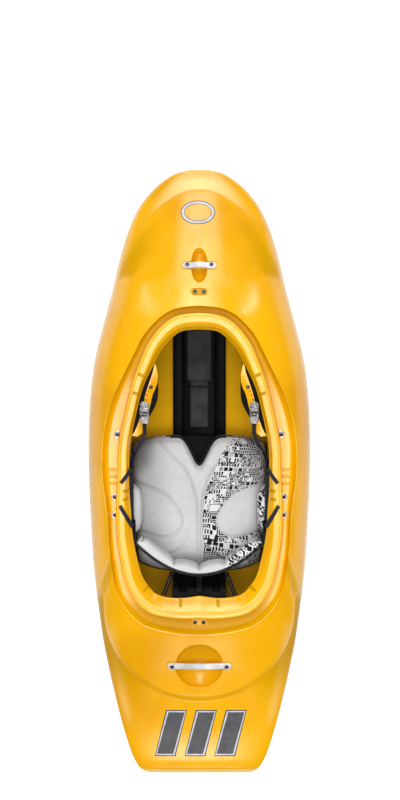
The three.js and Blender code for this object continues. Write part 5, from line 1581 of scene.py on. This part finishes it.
def elastic_loop(word, side):
    start = behind_band(LOOP_ALONG)
    end = on_rim(LOOP_TURN, float(flange_width(LOOP_TURN)) - LOOP_TUCK)
    way = unit(end - start)
    along = unit(behind_band(LOOP_ALONG + 0.01) - start)
    slant = abs(along @ way) / abs(along[0] * way[1] - along[1] * way[0])
    buckle_middle = RUN_GAP + LOOP_BUCKLE[0] / 2 * slant + LOOP_BUCKLE[1] / 2
    half = LOOP_WIDTH / 2
    front = start + way * (buckle_middle + LOOP_BUCKLE[1] / 2 + SEAT_GAP + half + LOOP_CORD)
    length = np.linalg.norm(end - front)
    bow = np.linspace(0, np.pi, 16)
    run = np.linspace(0, 1, 22)[1:-1]
    pinch = LOOP_PINCH * np.sin(run * np.pi)
    a = [length + half * np.sin(bow), mix(length, 0, run), -half * np.sin(bow), mix(0, length, run)]
    b = [half * np.cos(bow), pinch - half, -half * np.cos(bow), half - pinch]
    plan = front + np.outer(np.concatenate(a), way) + np.outer(np.concatenate(b), [-way[1], way[0]])
    path = together(*to_world(side * plan[:, 0], plan[:, 1], LOOP_Z))
    made = tube(f"elastic_loop_{word}", path, LOOP_CORD, elastic, None, 10, True)
    stands_for(f"rear_loop_{word}")
    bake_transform(made)


for word, side in SIDES:
    elastic_loop(word, side)

# Deck badges: a plain oval ring at the bow, and three slanting bars at the stern.
BADGE_LIFT = 0.3
BADGE_STEP = 5
BOW_BADGE = (-4, 757)
BOW_BADGE_SIZE = (50, 36)
BADGE_LAYERS = ((0, badge_dark), (2.5, badge_pale), (9, badge_dark), (11, brace_amber))
STERN_BADGE_X = (-84, 4, 92)
STERN_BADGE_Y = (-838, -700)
STERN_BADGE_WIDTH = 62
STERN_BADGE_SLANT = 34
STERN_LAYERS = ((0, badge_dark), (3, badge_pale), (7, badge_grey))


def on_deck_shape(name, corners, finish, lift):
    """A thin flat shape laid on the deck: corners in plan, filled with a grid that follows the deck."""
    shape = bmesh.new()
    shape.faces.new([shape.verts.new((x, y, 0)) for x, y in corners])
    for axis in (0, 1):
        low, high = min(c[axis] for c in corners), max(c[axis] for c in corners)
        normal = Vector((1 - axis, axis, 0))
        for cut in np.arange(low + BADGE_STEP, high, BADGE_STEP):
            geometry = shape.verts[:] + shape.edges[:] + shape.faces[:]
            bmesh.ops.bisect_plane(shape, geom=geometry, plane_co=normal * cut, plane_no=normal)
    x, y = (np.array([v.co[axis] for v in shape.verts]) for axis in (0, 1))
    for v, height in zip(shape.verts, deck_height(x, y) + lift):
        v.co = Vector((v.co.x, v.co.y, height)) * MM
    mesh = bpy.data.meshes.new(name)
    shape.to_mesh(mesh)
    shape.free()
    dressed_object(name, mesh, finish)


def bow_badge():
    angles = np.linspace(0, 2 * np.pi, 64, endpoint=False)
    for i, (inset, finish) in enumerate(BADGE_LAYERS):
        wide, long = (size - inset for size in BOW_BADGE_SIZE)
        corners = [(BOW_BADGE[0] + wide * math.cos(a), BOW_BADGE[1] + long * math.sin(a)) for a in angles]
        on_deck_shape(f"bow_badge_{i}", corners, finish, BADGE_LIFT * (i + 1))


def stern_badge():
    lean = STERN_BADGE_SLANT / 2
    for k, x in enumerate(STERN_BADGE_X):
        for i, (inset, finish) in enumerate(STERN_LAYERS):
            half = STERN_BADGE_WIDTH / 2 - inset
            low, high = STERN_BADGE_Y[0] + inset, STERN_BADGE_Y[1] - inset
            rear, front = x - lean, x + lean
            corners = [(rear - half, low), (rear + half, low), (front + half, high), (front - half, high)]
            on_deck_shape(f"stern_bar_{k}_{i}", corners, finish, BADGE_LIFT * (i + 1))


bow_badge()
stern_badge()

# The studio: a pale floor, a long soft box overhead, wide boxes past the bow, and strips round the boat.
FLOOR_REACH = 12
FLOOR_GREY = 0.85
FLOOR_GLOW = 0.75
MIRRORED_SHARE = 0.3
SKY_STRENGTH = 0.24
SKY_DIMMED = 0.2
# Each light's name, place, aim, size and power.
LIGHTS = (
    ("long_box", (-0.1, 0.85, 3.4), (-0.1, 0.85, 0), (1.0, 4.7), 78),
    ("bow_box", (0, 3.75, 2.82), (0, 0.69, 0.25), (0.6, 1.5), 2.5),
    ("bow_middle", (0, 3.80, 2.86), (0, 0.69, 0.25), (1.2, 1.5), 6),
    ("bow_wide", (0, 3.85, 2.90), (0, 0.69, 0.25), (2.0, 1.5), 10),
    ("bow_widest", (0, 3.90, 2.94), (0, 0.69, 0.25), (2.9, 1.5), 16),
    ("stern_fill", (0, -1.2, 3.0), (0, -0.5, 0), (2.0, 1.4), 31),
    ("stern_strip", (0, -2.8, 2.2), (0, -0.5, 0.2), (1.0, 0.35), 3.5),
    ("left_strip", (-1.7, 1.8, 1.9), (0, 0.5, 0.2), (0.2, 1.4), 5),
    ("right_strip", (1.7, 1.8, 1.9), (0, 0.5, 0.2), (0.2, 1.4), 6),
)
NOT_MIRRORED = ("stern_fill",)


def area_light(name, place, aim, size, power):
    data = bpy.data.lights.new(name, "AREA")
    data.shape = "RECTANGLE"
    data.size, data.size_y = size
    data.energy = power
    made = add_object(name, data)
    made.location = place
    made.rotation_euler = (Vector(aim) - Vector(place)).to_track_quat("-Z", "Y").to_euler()
    made.visible_glossy = name not in NOT_MIRRORED


def floor():
    """A white floor that glows for the camera, and weakly in the gloss of the hull."""
    reach = FLOOR_REACH
    mesh = bpy.data.meshes.new("floor")
    corners = [(-reach, -reach, 0), (reach, -reach, 0), (reach, reach, 0), (-reach, reach, 0)]
    mesh.from_pydata(corners, [], [(0, 1, 2, 3)])
    look = bpy.data.materials.new("pale_floor")
    look.use_nodes = True
    tree = look.node_tree
    tree.nodes.clear()
    rays = tree.nodes.new("ShaderNodeLightPath").outputs
    mirrored = math_node(tree, "MULTIPLY", rays["Is Glossy Ray"], MIRRORED_SHARE)
    seen = math_node(tree, "MAXIMUM", rays["Is Camera Ray"], mirrored)
    seen = math_node(tree, "MAXIMUM", seen, rays["Is Transmission Ray"])
    glow = add_node(tree, "Emission", Strength=math_node(tree, "MULTIPLY", seen, FLOOR_GLOW))
    paint = add_node(tree, "BsdfDiffuse", Color=grey(FLOOR_GREY))
    added = tree.nodes.new("ShaderNodeAddShader")
    feed(tree, added.inputs[0], paint.outputs[0])
    feed(tree, added.inputs[1], glow.outputs[0])
    add_node(tree, "OutputMaterial", Surface=added.outputs[0])
    mesh.materials.append(look)
    add_object("floor", mesh)


def world():
    made = bpy.data.worlds.new("studio")
    bpy.context.scene.world = made
    made.use_nodes = True
    tree = made.node_tree
    rays = tree.nodes.new("ShaderNodeLightPath").outputs
    dimmed = math_node(tree, "MULTIPLY", rays["Is Glossy Ray"], SKY_DIMMED)
    strength = math_node(tree, "SUBTRACT", SKY_STRENGTH, dimmed)
    wire(tree, tree.nodes["Background"], Color=grey(1), Strength=strength)


floor()
world()
for light in LIGHTS:
    area_light(*light)
bpy.context.scene.view_settings.view_transform = "Standard"
